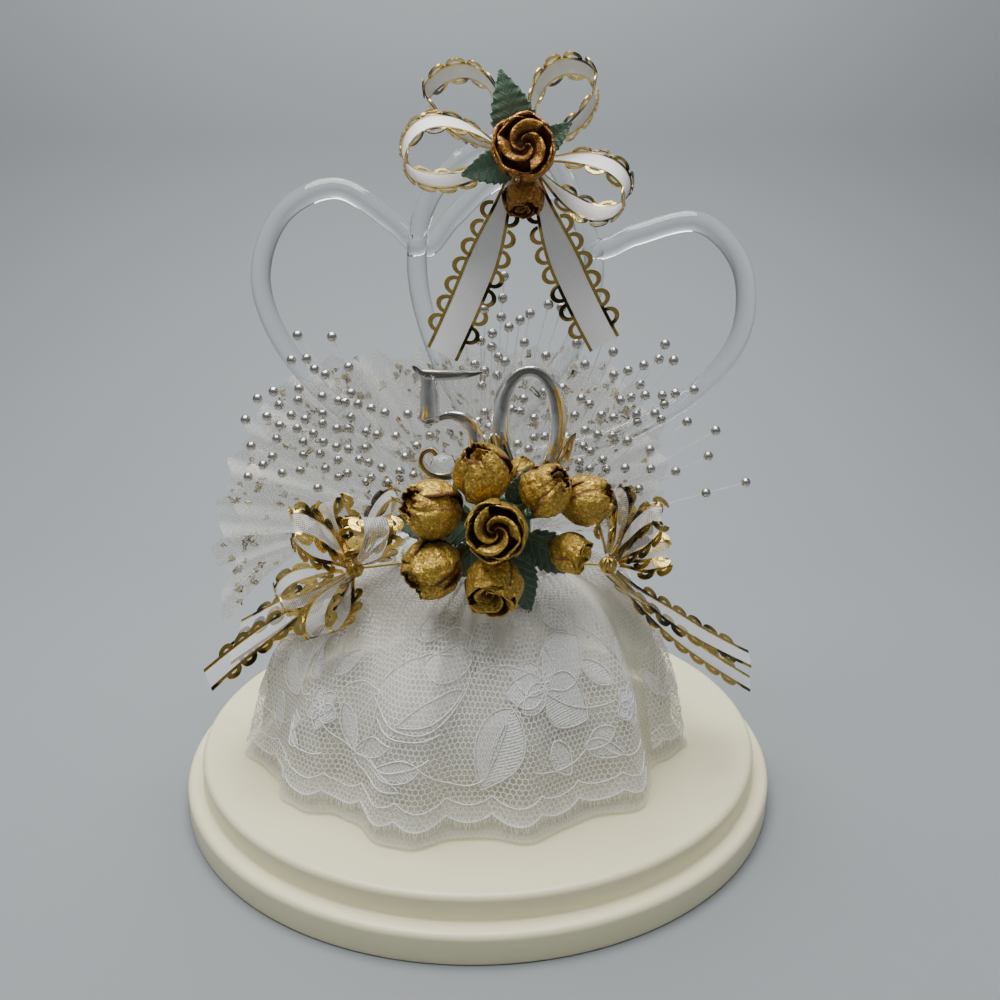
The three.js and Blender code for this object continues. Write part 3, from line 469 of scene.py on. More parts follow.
class Growth(NodeTree):
    """A Geometry Nodes tree with named inputs, which ends in Realize Instances and Set Material."""

    def __init__(self, name, **inputs):
        super().__init__(bpy.data.node_groups.new(name, "GeometryNodeTree"))
        self.tree.interface.new_socket("Geometry", in_out="INPUT", socket_type="NodeSocketGeometry")
        self.tree.interface.new_socket("Geometry", in_out="OUTPUT", socket_type="NodeSocketGeometry")
        for label, kind in {**inputs, "Material": "NodeSocketMaterial"}.items():
            self.tree.interface.new_socket(label, in_out="INPUT", socket_type=kind)
        self.start = self.tree.nodes.new("NodeGroupInput")
        self.end = self.tree.nodes.new("NodeGroupOutput")

    def given(self, name):
        return self.start.outputs[name]

    def mark(self, name, kind="FLOAT"):
        """A number or a direction that the mesh carries at each point."""
        return self.node("GeometryNodeInputNamedAttribute", {"data_type": kind}, {"Name": name}).outputs[0]

    def repeated(self):
        """The small shape that the tree repeats."""
        info = self.node("GeometryNodeObjectInfo", {"transform_space": "ORIGINAL"},
                         {"Object": self.given("Shape"), "As Instance": True})
        return info.outputs["Geometry"]

    def finish(self, geometry):
        real = self.node("GeometryNodeRealizeInstances", None, {"Geometry": geometry})
        rounded = self.node("GeometryNodeSetShadeSmooth", None, {"Geometry": real.outputs[0]})
        values = {"Geometry": rounded.outputs[0], "Material": self.given("Material")}
        painted = self.node("GeometryNodeSetMaterial", None, values)
        self.tree.links.new(painted.outputs[0], self.end.inputs[0])
        return self

    def grow(self, source, form=None, **values):
        """Runs the tree on an object, which then is the plain result. A form is the shape that it repeats."""
        if form is not None:
            values["Shape"] = piece_of(f"{source.name}_shape", form)
        modifier = source.modifiers.new("growth", "NODES")
        modifier.node_group = self.tree
        identifiers = {item.name: item.identifier for item in self.tree.interface.items_tree
                       if item.in_out == "INPUT"}
        for name, value in values.items():
            modifier[identifiers[name]] = value
        baked(source)
        if form is not None:
            bpy.data.objects.remove(values["Shape"])
        return source


def swept_growth():
    """Lines made into round wires. A point's mark called thick scales the wire there."""
    growth = Growth("Wires along lines", Radius="NodeSocketFloat", Sides="NodeSocketInt")
    line = growth.node("GeometryNodeMeshToCurve", None, {"Mesh": growth.given("Geometry")})
    section = growth.node("GeometryNodeCurvePrimitiveCircle", {"mode": "RADIUS"},
                          {"Resolution": growth.given("Sides"), "Radius": growth.given("Radius")})
    wire = growth.node("GeometryNodeCurveToMesh", None, {
        "Curve": line.outputs[0], "Profile Curve": section.outputs[0],
        "Scale": growth.mark("thick"), "Fill Caps": True,
    })
    return growth.finish(wire.outputs[0])


def wires(name, lines, radius, sides, material, joined=False, thick=None):
    """One object of round wires along lines of places."""
    edges, start = [], 0
    for line in lines:
        last = start + len(line) - 1
        edges += [(k, k + 1) for k in range(start, last)]
        if joined:
            edges.append((last, start))
        start = last + 1
    source = new_object(name, np.vstack(lines), edges)
    mark_points(source, "thick", np.ones(start) if thick is None else np.concatenate(thick))
    return swept_growth().grow(source, Radius=radius * MM, Sides=sides, Material=material)


def placed_growth():
    """A shape set at points, its Y along their mark called outward and its X near their mark called along."""
    growth = Growth("Shapes at points", Shape="NodeSocketObject")
    turn = growth.node("FunctionNodeAxesToRotation", {"primary_axis": "Y", "secondary_axis": "X"}, {
        "Primary Axis": growth.mark("outward", "FLOAT_VECTOR"),
        "Secondary Axis": growth.mark("along", "FLOAT_VECTOR"),
    })
    set_out = growth.node("GeometryNodeInstanceOnPoints", None, {
        "Points": growth.given("Geometry"), "Instance": growth.repeated(), "Rotation": turn.outputs[0]})
    return growth.finish(set_out.outputs[0])


def placed(name, form, at, material, outward=(0, 1, 0), along=(1, 0, 0)):
    """One object of a small shape repeated at places."""
    source = new_object(name, at)
    for mark, values in {"outward": outward, "along": along}.items():
        mark_points(source, mark, np.broadcast_to(values, at.shape), "FLOAT_VECTOR")
    return placed_growth().grow(source, form, Material=material)


# Settings that a user would change

def colour(name, description, default):
    return bpy.props.FloatVectorProperty(
        name=name, description=description, default=default, subtype="COLOR", size=3, min=0.0, max=1.0)


def length(name, description, default_mm):
    return bpy.props.FloatProperty(
        name=name, description=description, default=default_mm * MM, min=0.00001, subtype="DISTANCE",
        unit="LENGTH")


class TopperView(bpy.types.PropertyGroup):
    """Where the object is seen from, and what stands round it."""

    camera_place: bpy.props.FloatVectorProperty(
        name="Camera", description="Place of the camera", default=(0.0056, -0.2415, 0.148), size=3,
        subtype="TRANSLATION", unit="LENGTH")
    camera_tilt: bpy.props.FloatProperty(
        name="Tilt", description="How far the camera looks down", default=math.radians(16.8),
        subtype="ANGLE", unit="ROTATION")
    floor_colour: colour("Floor", "Colour of the floor and of the wall behind it", (0.25, 0.265, 0.275))
    light_power: bpy.props.FloatProperty(
        name="Light", description="Power of the main soft light", default=6.0, min=0.0, unit="POWER")


class TopperSizes(bpy.types.PropertyGroup):
    """Sizes of the small things that repeat over the topper."""

    rod_width: length("Heart rod", "Width of the clear rod that the hearts are bent from", ROD_D)
    net_pitch: length("Net pitch", "Distance between the holes of the lace's net", 1.4)
    lace_cord_width: length("Lace cord", "Width of the cord round each lace motif", 0.25)
    scallop_pitch: length("Scallop pitch", "Length of each scallop of the lace's hem", 11.5)
    bead_width: length("Bead", "Width of each silver bead", 2.4)
    filament_width: length("Filament", "Width of the clear filament that carries the beads", 0.22)
    ribbon_width: length("Ribbon", "Width of the ribbon without its picots", 7.4)
    picot_pitch: length("Picot pitch", "Distance between the ribbon's picots", 4.6)
    fleck_width: length("Fleck", "Width of a cluster of foil flecks on the fan", 2.1)
    fleck_count: bpy.props.IntProperty(
        name="Flecks", description="About how many clusters of foil flecks the fan has", default=430, min=0)


class TopperColours(bpy.types.PropertyGroup):
    """Colours of the topper's materials."""

    cream: colour("Base", "Moulded base", (0.83, 0.78, 0.51))
    foam: colour("Foam", "Core under the skirt", (0.88, 0.87, 0.83))
    acrylic: colour("Hearts", "Clear rod", (0.97, 0.985, 0.99))
    lace: colour("Lace", "Lace thread", (0.90, 0.885, 0.85))
    tulle: colour("Tulle", "Plain net cloth", (0.87, 0.84, 0.73))
    gold: colour("Rosebuds", "Glittered gold cloth", (0.50, 0.315, 0.055))
    # A dark brown painted as shade into the petals' folds and the flower's depths
    recess_shade: colour("Rosebud folds", "Brown that shows in the petals' folds", (0.125, 0.04, 0.009))
    rose: colour("Top rose", "Browner gold of the top flowers", (0.38, 0.175, 0.035))
    leaf: colour("Leaves", "Printed leaf cloth", (0.075, 0.14, 0.085))
    vein: colour("Leaf veins", "Veins and worn edges of the leaves", (0.22, 0.31, 0.21))
    ribbon: colour("Ribbon", "Sheer band of the ribbon", (0.86, 0.85, 0.83))
    foil: colour("Foil", "Gold edges of the ribbon", (0.69, 0.50, 0.135))
    silver: colour("Silver", "Beads and numerals", (0.82, 0.80, 0.755))
    tape: colour("Stem tape", "Crepe tape round the wires", (0.06, 0.13, 0.06))


# Materials

def stage_material(view):
    """Pale wall and floor with a faint cloudiness."""
    paint, _, tone = mottled("pale_backdrop", view.floor_colour, 0.97, 1.03, 6.0, detail=3.0)
    return paint.finish(Base_Color=tone, Roughness=0.75, Specular_IOR_Level=0.2)


def moulded_cream(colours):
    """Satin moulded plastic, a little uneven in colour and with fine marks from handling."""
    paint, cloud, tone = mottled("moulded_cream", colours.cream, 0.95, 1.04, 35.0, detail=4.0)
    speck = paint.noise(1400.0)
    scuff = paint.noise(90.0, detail=6.0, roughness=0.7).step(0.45, 0.75)
    grain = paint.bump(speck, 0.02)
    wave = paint.bump(cloud, 0.25, under=grain)
    return paint.finish(Base_Color=tone, Roughness=0.36 + scuff * 0.16, Normal=wave,
                        Coat_Weight=0.15, Coat_Roughness=0.25)


def bead_foam(colours):
    """Pressed foam beads, packed close, with painted shade towards the edge of each bead."""
    paint = Paint("bead_foam")
    values = {"Vector": paint.place(), "Scale": 520.0}
    cell = paint.add("ShaderNodeTexVoronoi", {"feature": "F1"}, values)
    # Painted shade: each bead's colour darkens from its middle to its edge, where the beads meet
    tone = paint.mix(cell, toned(colours.foam, 1.05), toned(colours.foam, 0.8))
    return paint.finish(Base_Color=tone, Roughness=0.9, Normal=paint.bump(1 - cell, 0.5))


def clear_acrylic(colours):
    """Clear rod that keeps fine ripples where it was bent most."""
    paint = Paint("clear_acrylic")
    along, _ = paint.cloth()
    ripple = (along * (2 * math.pi / RIPPLE_PITCH)).sine() * paint.mark("bent")
    waver = paint.noise(60.0, detail=2.0)
    soft = paint.bump(waver, 0.12)
    return paint.finish(
        Base_Color=tuple(colours.acrylic) + (1.0,), Roughness=0.025, IOR=1.46, Transmission_Weight=1.0,
        Normal=paint.bump(ripple, RIPPLE_H, under=soft))


def net_threads(along, down, pitch, thread):
    """How much of a place is thread in a net of six-sided holes."""
    tall = pitch * math.sqrt(3)
    first = [along.wrapped(pitch) - pitch / 2, down.wrapped(tall) - tall / 2]
    second = [(along + pitch / 2).wrapped(pitch) - pitch / 2, (down + tall / 2).wrapped(tall) - tall / 2]
    span = [part[0] * part[0] + part[1] * part[1] for part in (first, second)]
    nearer = span[0].less_than(span[1])
    x, y = (first[k].size() * nearer + second[k].size() * (1 - nearer) for k in (0, 1))
    reach = (x * 0.5 + y * (math.sqrt(3) / 2)).above(x)
    inside = pitch / 2 - reach
    return 1 - inside.step(thread * 0.35, thread * 0.8)


def raschel_lace(sizes, colours):
    """Lace: a net of fine thread, with dense ribbed motifs where the mesh marks them, and painted shade in the
    pleats where it is gathered.
    """
    paint = Paint("white_lace")
    along, down = paint.cloth()
    pitch = sizes.net_pitch / MM
    net = net_threads(along, down, pitch, NET_THREAD_SHARE * pitch)
    ribs = (paint.mark("rib") * (2 * math.pi / RIB_PITCH)).sine()
    dense = paint.mark("fill")
    filled = dense * (0.84 + ribs * 0.16)
    gathered = paint.mark("gather")
    cover = net.above(filled).above(gathered * 0.8)
    shade = paint.mix(filled.above(net * 0.5), toned(colours.lace, 0.92), toned(colours.lace, 1.05))
    # Painted shade: the gathered cloth near the waist is darkened in stripes down its pleats
    pleat = (ribs * 0.5 + 0.5) * gathered
    shade = paint.mix(pleat * 0.6, shade, toned(colours.lace, 0.5))
    relief = ribs * dense * 0.5 + net * 0.5 - pleat * 1.5
    return paint.finish(Base_Color=shade, Roughness=0.78, Alpha=cover, Sheen_Weight=0.25,
                        Normal=paint.bump(relief, 0.12))


def lace_thread(colours):
    """Soft twisted thread of the motifs' outlines."""
    paint, fuzz, tone = mottled("lace_thread", colours.lace, 0.97, 1.12, 2500.0, detail=1.0)
    return paint.finish(Base_Color=tone, Roughness=0.7, Sheen_Weight=0.3, Normal=paint.bump(fuzz, 0.06))


def plain_tulle(name, colours, thin, dense, hem=None):
    """Fine net, more solid where it is gathered, and thinner along a hem given as (start, end) down it."""
    paint, cloud, tone = mottled(name, colours.tulle, 0.96, 1.08, 220.0, detail=3.0)
    along, down = paint.cloth()
    net = net_threads(along, down, TULLE_PITCH, TULLE_THREAD_SHARE * TULLE_PITCH)
    gathered = paint.mark("gather")
    cover = (thin + (dense - thin) * gathered + (cloud - 0.5) * 0.12).above(net * (thin + 0.3))
    cover = cover.below(1.0)
    if hem:
        cover = cover * (1 - down.step(*hem) * TULLE_HEM_FADE)
    return paint.finish(Base_Color=tone, Roughness=0.6, Alpha=cover, Sheen_Weight=0.2,
                        Normal=paint.bump(net, 0.05))


def silver_plate(name, plating, roughness, uneven):
    """Bright plated metal with faint hazing, and painted shade where the mesh marks it, most in the hollow between a
    stroke's two ridges.
    """
    paint, haze, tone = mottled(name, plating, 0.94, 1.03, 300.0, detail=3.0)
    # Painted shade: the marked hollow, edges and back of each stroke are darkened towards black
    tone = paint.mix(paint.mark("groove") * 0.6, tone, toned(plating, 0.2))
    return paint.finish(Base_Color=tone, Metallic=1.0, Roughness=roughness + haze * 0.06,
                        Normal=paint.bump(paint.noise(240.0), uneven))


def glittered_gold(name, cloth, colours):
    """Gold cloth: woven, set with glitter that has painted glints, with painted shade in its folds and deep in the
    flower and brown at its petals' edges, on a wire wound with green tape.
    """
    paint = Paint(name)
    spark = paint.cells(2600.0)
    crease = paint.noise(360.0, detail=4.0, roughness=0.65)
    # The inside mark carries painted shade deep in the flower, and brown at the petals' edges
    deep = paint.mark("inside")
    # Painted shade and edge brown, with random crumple tone from the crease noise
    depth_shade_and_brown = (deep * 1.15 + (crease - 0.45) * 0.8).step(0.12, 0.85)
    # Painted highlights: bright specks of the glitter, lightened far past the cloth's colour
    glint_highlight = spark.step(0.78, 0.92) * (1 - depth_shade_and_brown)
    bright = paint.mix(spark, toned(cloth, 0.6), toned(cloth, 1.3))
    tone = paint.mix(glint_highlight * 0.7, paint.mix(depth_shade_and_brown, bright, colours.recess_shade), toned(cloth, 2.1))
    taped = paint.mark("taped")
    tone = paint.mix(taped, tone, colours.tape)
    relief = paint.bump(spark, 0.16, under=paint.bump(crease, 1.3))
    metal = (0.7 - depth_shade_and_brown * 0.5) * (1 - taped)
    return paint.finish(Base_Color=tone, Metallic=metal, Roughness=0.44 + depth_shade_and_brown * 0.25 - glint_highlight * 0.2,
                        Normal=relief, Specular_IOR_Level=0.5)


def leaf_cloth(name, print_colour, colours):
    """Printed cloth leaf with pressed veins."""
    paint, _, green = mottled(name, print_colour, 0.7, 1.7, 260.0, detail=4.0)
    along, across = paint.cloth()
    midrib = 1 - across.size().step(0.08, 0.28)
    slant = (along - across.size() * 0.9).wrapped(LEAF_VEIN_PITCH)
    side_vein = 1 - (slant - LEAF_VEIN_PITCH / 2).size().step(0.08, 0.26)
    vein = midrib.above(side_vein * 0.75)
    weave = paint.noise(3200.0, detail=1.0)
    tone = paint.mix(vein * 0.5 + weave.step(0.55, 0.75) * 0.2, green, colours.vein)
    pressed = paint.bump(vein, 0.22, under=paint.bump(weave, 0.05))
    return paint.finish(Base_Color=tone, Roughness=0.6, Sheen_Weight=0.15, Normal=pressed)


def sheer_band(name, thread, cover_low, cover_high, contrast):
    """Sheer woven ribbon with fine ribs along it."""
    paint = Paint(name)
    along, across = paint.cloth()
    ribs = (across * (2 * math.pi / RIBBON_RIB_PITCH)).sine() * 0.5 + 0.5
    weft = (along * (2 * math.pi / RIBBON_WEFT_PITCH)).sine() * 0.5 + 0.5
    weave = ribs * 0.6 + weft * 0.4
    cover = cover_low + (cover_high - cover_low) * weave.step(0.3, 0.75)
    tone = paint.mix(weave, toned(thread, 1 - contrast), toned(thread, 1 + contrast))
    return paint.finish(Base_Color=tone, Roughness=0.55, Alpha=cover, Sheen_Weight=0.2,
                        Normal=paint.bump(weave, 0.05))


def gold_foil(colours):
    """Stamped gold foil, slightly dented, with painted reflections: lighter and darker with its dents, and dark
    patches where it mirrors dark surroundings.
    """
    paint, dent, lit = mottled("gold_foil", colours.foil, 0.75, 1.25, 700.0)
    # Painted reflection: dark patches of foil, as if mirroring something dark
    dark_reflection = paint.noise(150.0, detail=1.0).step(0.52, 0.62)
    tone = paint.mix(dark_reflection, lit, toned(colours.foil, 0.1))
    return paint.finish(Base_Color=tone, Metallic=1.0, Roughness=0.16 + dent * 0.14,
                        Normal=paint.bump(dent, 0.16))


def foil_flecks(colours):
    """Chips of gold, silver and brown foil."""
    paint = Paint("foil_flecks")
    pick = paint.cells(900.0)
    warm = paint.mix(pick.step(0.25, 0.4), toned(colours.foil, 0.12), toned(colours.foil, 0.8))
    tone = paint.mix(pick.step(0.65, 0.8), warm, toned(colours.silver, 0.5))
    return paint.finish(Base_Color=tone, Metallic=0.9, Roughness=0.3)


def clear_filament(colours):
    """Thin clear nylon line."""
    paint = Paint("clear_filament")
    haze = paint.noise(800.0)
    tone = paint.mix(haze, toned(colours.acrylic, 0.85), colours.acrylic)
    return paint.finish(Base_Color=tone, Roughness=0.15, Alpha=0.35 + haze * 0.2)


def brass_wire(colours):
    """Bright tie wire."""
    paint, rub, tone = mottled("tie_wire", colours.foil, 0.7, 1.1, 900.0, detail=3.0)
    return paint.finish(Base_Color=tone, Metallic=1.0, Roughness=0.25 + rub * 0.2)


def crepe_tape(colours):
    """Crepe paper tape wound on the slant."""
    paint, crinkle, tone = mottled("crepe_tape", colours.tape, 0.7, 1.5, 1800.0, detail=3.0)
    along, across = paint.cloth()
    winding = (along + across * 0.25).wrapped(TAPE_PITCH) / TAPE_PITCH
    return paint.finish(Base_Color=tone, Roughness=0.85,
                        Normal=paint.bump(winding, 0.3, under=paint.bump(crinkle, 0.15)))


# Stage

LENS = 36.0
SENSOR = 36.0
WALL_Y = 330.0
STAGE_HALF_W = 1500.0
STAGE_FRONT_Y = -900.0
WALL_TOP_Z = 1500.0
CURVE_R = 180.0

# Heights of a direction from which the room grows brighter and where it stops, and its two strengths
ROOM_LIGHT_BY_HEIGHT = (0.0, 0.9, 0.17, 0.42)
ROOM_COLOUR = (0.93, 0.96, 1.0, 1.0)

# Each soft light's place, its width and its share of the main light's power
LIGHTS = {
    "overhead_light": ((-50, 30, 560), 480, 1.0),
    "window_light": ((-520, -300, 420), 240, 0.12),
    "room_light": ((560, -260, 340), 200, 0.1),
    "back_light": ((40, 270, 520), 240, 0.15),
}
LIT_MIDDLE = np.array([0, 0, 90.0])


def make_stage(view):
    """Pale floor that curves up into a wall, soft lights and the camera."""
    turn = np.radians(np.linspace(0, 90, 24))
    bend = np.column_stack([WALL_Y - CURVE_R + CURVE_R * np.sin(turn), CURVE_R - CURVE_R * np.cos(turn)])
    side_view = np.vstack([[STAGE_FRONT_Y, 0], bend, [WALL_Y, WALL_TOP_Z]])
    rows = np.array([[[x, y, z] for x in (-STAGE_HALF_W, STAGE_HALF_W)] for y, z in side_view])
    floor = piece_of("pale_floor", grid(rows))
    floor.data.materials.append(stage_material(view))

    camera = bpy.data.cameras.new("camera")
    camera.lens = LENS
    camera.sensor_width = SENSOR
    camera.clip_start = 0.01
    holder = in_scene("camera", camera)
    holder.location = view.camera_place
    holder.rotation_euler = (math.pi / 2 - view.camera_tilt, 0, 0)
    bpy.context.scene.camera = holder

    for name, (place, width, share) in LIGHTS.items():
        light = bpy.data.lights.new(name, "AREA")
        light.size = width * MM
        light.energy = view.light_power * share
        lamp = in_scene(name, light)
        lamp.location = np.array(place) * MM
        away = unit(np.array(place, float) - LIT_MIDDLE)
        across, up = square_to(away)
        lamp.rotation_euler = Matrix(np.column_stack([across, up, away]).tolist()).to_euler()
    make_room_light()


def make_room_light():
    """Faint light from all round, brighter from above."""
    world = bpy.data.worlds.new("soft_room")
    world.use_nodes = True
    nodes, links = world.node_tree.nodes, world.node_tree.links
    background = nodes["Background"]
    background.inputs["Color"].default_value = ROOM_COLOUR
    heading = nodes.new("ShaderNodeTexCoord")
    parts = nodes.new("ShaderNodeSeparateXYZ")
    brighter = nodes.new("ShaderNodeMapRange")
    brighter.interpolation_type = "SMOOTHSTEP"
    for socket, value in zip(brighter.inputs[1:5], ROOM_LIGHT_BY_HEIGHT):
        socket.default_value = value
    links.new(heading.outputs["Generated"], parts.inputs[0])
    links.new(parts.outputs["Z"], brighter.inputs[0])
    links.new(brighter.outputs[0], background.inputs["Strength"])
    bpy.context.scene.world = world


# Base

LOWER_TIER_H = 7.2
TIER_STEP_W = 4.1
TIER_EDGE_R = 1.5
FOOT_EDGE_R = 0.6
BASE_SIDES = 192
BASE_FOOT_RINGS = 4
BASE_TOP_RINGS = 7


def edge_arc(centre_r, centre_z, radius, from_deg, to_deg, steps=7):
    """The points of a rounded edge, as radii and heights."""
    angle = np.radians(np.linspace(from_deg, to_deg, steps + 1))
    return np.column_stack([centre_r + radius * np.cos(angle), centre_z + radius * np.sin(angle)])


def make_base(colours):
    """The two moulded tiers, with their rounded edges."""
    lower_r = BASE_HIGH[0]
    upper_r = lower_r - TIER_STEP_W
    under = np.linspace(0, lower_r - FOOT_EDGE_R, BASE_FOOT_RINGS + 2)[1:-1]
    over = np.linspace(0, upper_r - TIER_EDGE_R, BASE_TOP_RINGS + 2)[::-1][1:-1]
    profile = np.vstack([
        [0, 0],
        np.column_stack([under, np.zeros(BASE_FOOT_RINGS)]),
        edge_arc(lower_r - FOOT_EDGE_R, FOOT_EDGE_R, FOOT_EDGE_R, -90, 0, 4),
        edge_arc(lower_r - TIER_EDGE_R, LOWER_TIER_H - TIER_EDGE_R, TIER_EDGE_R, 0, 90),
        edge_arc(upper_r + FOOT_EDGE_R, LOWER_TIER_H + FOOT_EDGE_R, FOOT_EDGE_R, -90, -180, 4),
        edge_arc(upper_r - TIER_EDGE_R, TABLE_Z - TIER_EDGE_R, TIER_EDGE_R, 0, 90),
        np.column_stack([over, np.full(BASE_TOP_RINGS, TABLE_Z)]),
        [0, TABLE_Z],
    ])
    base = piece_of("base_moulding", turned(profile, BASE_SIDES))
    settle(base, moulded_cream(colours), ["display_base"])


# Core

CORE_EDGE_R = 2.5
CORE_FOOT_R = 0.8
CORE_SIDES = 96


def make_core(colours):
    """The foam that everything is pushed into."""
    radius = CORE_D / 2
    profile = np.vstack([
        [0, CORE_LOW[2]],
        edge_arc(radius - CORE_FOOT_R, CORE_LOW[2] + CORE_FOOT_R, CORE_FOOT_R, -90, 0, 3),
        edge_arc(radius - CORE_EDGE_R, CORE_TOP_Z - CORE_EDGE_R, CORE_EDGE_R, 0, 90),
        [0, CORE_TOP_Z],
    ])
    core = piece_of("foam_block", turned(profile, CORE_SIDES, (CORE_X, 0)))
    settle(core, bead_foam(colours), ["foam_core"])


# Hearts

HEART_W = 79.4
HEART_SHARES = [
    (0.065, -1.36), (0.58, -0.97), (0.92, -0.51), (1, -0.1), (0.82, 0.25), (0.49, 0.37), (0.18, 0.16), (0, 0),
]
HEART_TIP_SHARE = -1.41
HEART_Y = 2.7
CLEFT_Z = CORE_TOP_Z + 72.8
HEART_JOINT_D = 8.2
HEART_STAKE_DEPTH = 18
HEART_STEPS = 260
ROD_SIDES = 28
JOINT_SIDES = 48
RIPPLE_PITCH = 1.25
RIPPLE_H = 0.10
Heart = namedtuple("Heart", "cleft lean_deg")
HEARTS = {
    "heart_left": Heart(np.array([-12.2, HEART_Y, CLEFT_Z]), -3.7),
    "heart_right": Heart(np.array([27.8, -HEART_Y, CLEFT_Z]), 23.2),
}


def heart_point(heart, across_share, up_share):
    """A place on a heart's line, from shares of its half width."""
    lean = math.radians(heart.lean_deg)
    across, up = across_share * HEART_W / 2, up_share * HEART_W / 2
    return heart.cleft + np.array([
        across * math.cos(lean) + up * math.sin(lean), 0, up * math.cos(lean) - across * math.sin(lean)])


def heart_line(heart):
    """The whole heart's middle line, from its joint up, round and back."""
    places = [heart_point(heart, -across, up) for across, up in HEART_SHARES]
    places += [heart_point(heart, across, up) for across, up in HEART_SHARES[-2::-1]]
    return through(places, HEART_STEPS)


def rod_body(line, radius):
    """A round rod along a line in an upright plane, with its length and its sharpest bends marked."""
    along = directions(line)
    side = np.array([0.0, 1.0, 0.0])
    out = np.cross(along, side)
    angle = round_angles(ROD_SIDES)
    rings = line[:, None] + radius * (
        np.cos(angle)[None, :, None] * side + np.sin(angle)[None, :, None] * out[:, None])
    curve = np.linalg.norm(np.gradient(along, axis=0), axis=1)
    sharp = smooth((curve / curve.max() - 0.3) / 0.4)
    outer = smooth(0.5 + np.sin(angle))[None, :] * (rings[..., 2] > CLEFT_Z - 4)
    bent = sharp[:, None] * outer
    way = travelled(line)
    around = np.linspace(0, 2 * math.pi * radius, ROD_SIDES + 1)
    uv = np.stack(np.meshgrid(way, around, indexing="ij"), axis=-1)
    tube = grid(rings, across_closed=True, uv=uv, bent=bent)
    count = len(line)
    last = (count - 1) * ROD_SIDES
    caps = [tuple(range(ROD_SIDES))[::-1], tuple(range(last, last + ROD_SIDES))]
    corners = np.vstack([tube.uv, np.zeros((2 * ROD_SIDES, 2))])
    return shape(tube.points, tube.faces + caps, corners, **tube.marks)


def joint_body(tip, radius):
    """The ball at a heart's tip and the stake below it."""
    ball_r = HEART_JOINT_D / 2
    middle = tip[2] + 2 * radius / 3
    start = math.degrees(math.asin(radius / ball_r)) - 90
    profile = np.vstack([
        [0, CORE_TOP_Z - HEART_STAKE_DEPTH],
        [radius * 0.5, CORE_TOP_Z - HEART_STAKE_DEPTH],
        [radius, CORE_TOP_Z - HEART_STAKE_DEPTH + radius],
        edge_arc(0, middle, ball_r, start, 88, 18),
        [0, middle + ball_r],
    ])
    form = turned(profile, JOINT_SIDES, (tip[0], tip[1]))
    corners = np.zeros((sum(len(face) for face in form.faces), 2))
    return shape(form.points, form.faces, corners, bent=np.zeros(len(form.points)))


def make_hearts(sizes, colours):
    """The two linked hearts, each one skin from rod, joint and stake."""
    clear = clear_acrylic(colours)
    radius = sizes.rod_width / MM / 2
    for name, heart in HEARTS.items():
        rod = piece_of(f"{name}_rod", rod_body(heart_line(heart), radius))
        joint = piece_of("joint", joint_body(heart_point(heart, 0, HEART_TIP_SHARE), radius))
        weld = rod.modifiers.new("weld", "BOOLEAN")
        weld.operation = "UNION"
        weld.object = joint
        baked(rod)
        bpy.data.objects.remove(joint)
        settle(rod, clear, [name])


# Skirt cloth that both layers follow

CLOTH_T = 0.6
LAYER_GAP = 1.5
SKIRT_HEM_R = 52.5
SKIRT_TOP_Z = CORE_TOP_Z - 3
LACE_HEM_LIFT = 3.6
LACE_HEM_Z = TABLE_Z + LACE_HEM_LIFT
SKIRT_FOLD_DEPTH = 3.2
SKIRT_SWAY_X = 5
WAIST_R = CORE_D / 2 + SEAT_GAP
SKIRT_ROWS = [
    (0, 1, 0), (0.05, 0.955, 0.1), (0.4, 0.86, 0.35), (0.62, 0.72, 0.55), (0.8, 0.52, 0.75), (0.915, 0.27, 0.9),
    (1, 0, 1),
]
SKIRT_FOLDS = 12
SKIRT_VALLEY_DEG = -89
GATHERS = 58
GATHER_H = 1.05
CENTRE_FOLD_DEPTH = 2.4
CENTRE_FOLD_TIGHTNESS = 140


def skirt_fold(angle):
    """How far out the folds stand at an angle, from about -1 to 1."""
    main = -np.cos(SKIRT_FOLDS * (angle - math.radians(SKIRT_VALLEY_DEG)))
    return 0.7 * main + 0.3 * np.cos((SKIRT_FOLDS / 2 + 1) * angle)


def skirt_profile():
    """Radius, height, fold depth and sway from the waist to the hem."""
    return np.array([
        (blend(WAIST_R, SKIRT_HEM_R, radius), blend(LACE_HEM_Z, SKIRT_TOP_Z, height), fold * SKIRT_FOLD_DEPTH,
         -SKIRT_SWAY_X * radius)
        for radius, height, fold in SKIRT_ROWS
    ])


def small_waves(angle, down):
    """Fine gathers at the waist that run out down the cloth, and soft creases below."""
    uneven = 0.9 * np.sin(5 * angle + 1.0) + 0.7 * np.sin(11 * angle + 2.3)
    pleat = 0.2 + np.cos(GATHERS * angle + uneven)
    gathers = pleat * GATHER_H * (1 - smooth(down / 0.62)) * smooth(down / 0.05 + 0.35)
    creases = np.cos(31 * angle + 2.2 * np.sin(3 * angle) + 1.5 * down) * 0.6 * smooth(down) * (1 - 0.3 * down)
    near_centre = np.exp(CENTRE_FOLD_TIGHTNESS * (np.cos(angle - math.radians(SKIRT_VALLEY_DEG)) - 1))
    centre_fold = CENTRE_FOLD_DEPTH * near_centre * smooth(down / 0.14) * (1 - smooth((down - 0.25) / 0.55))
    return gathers + creases - centre_fold


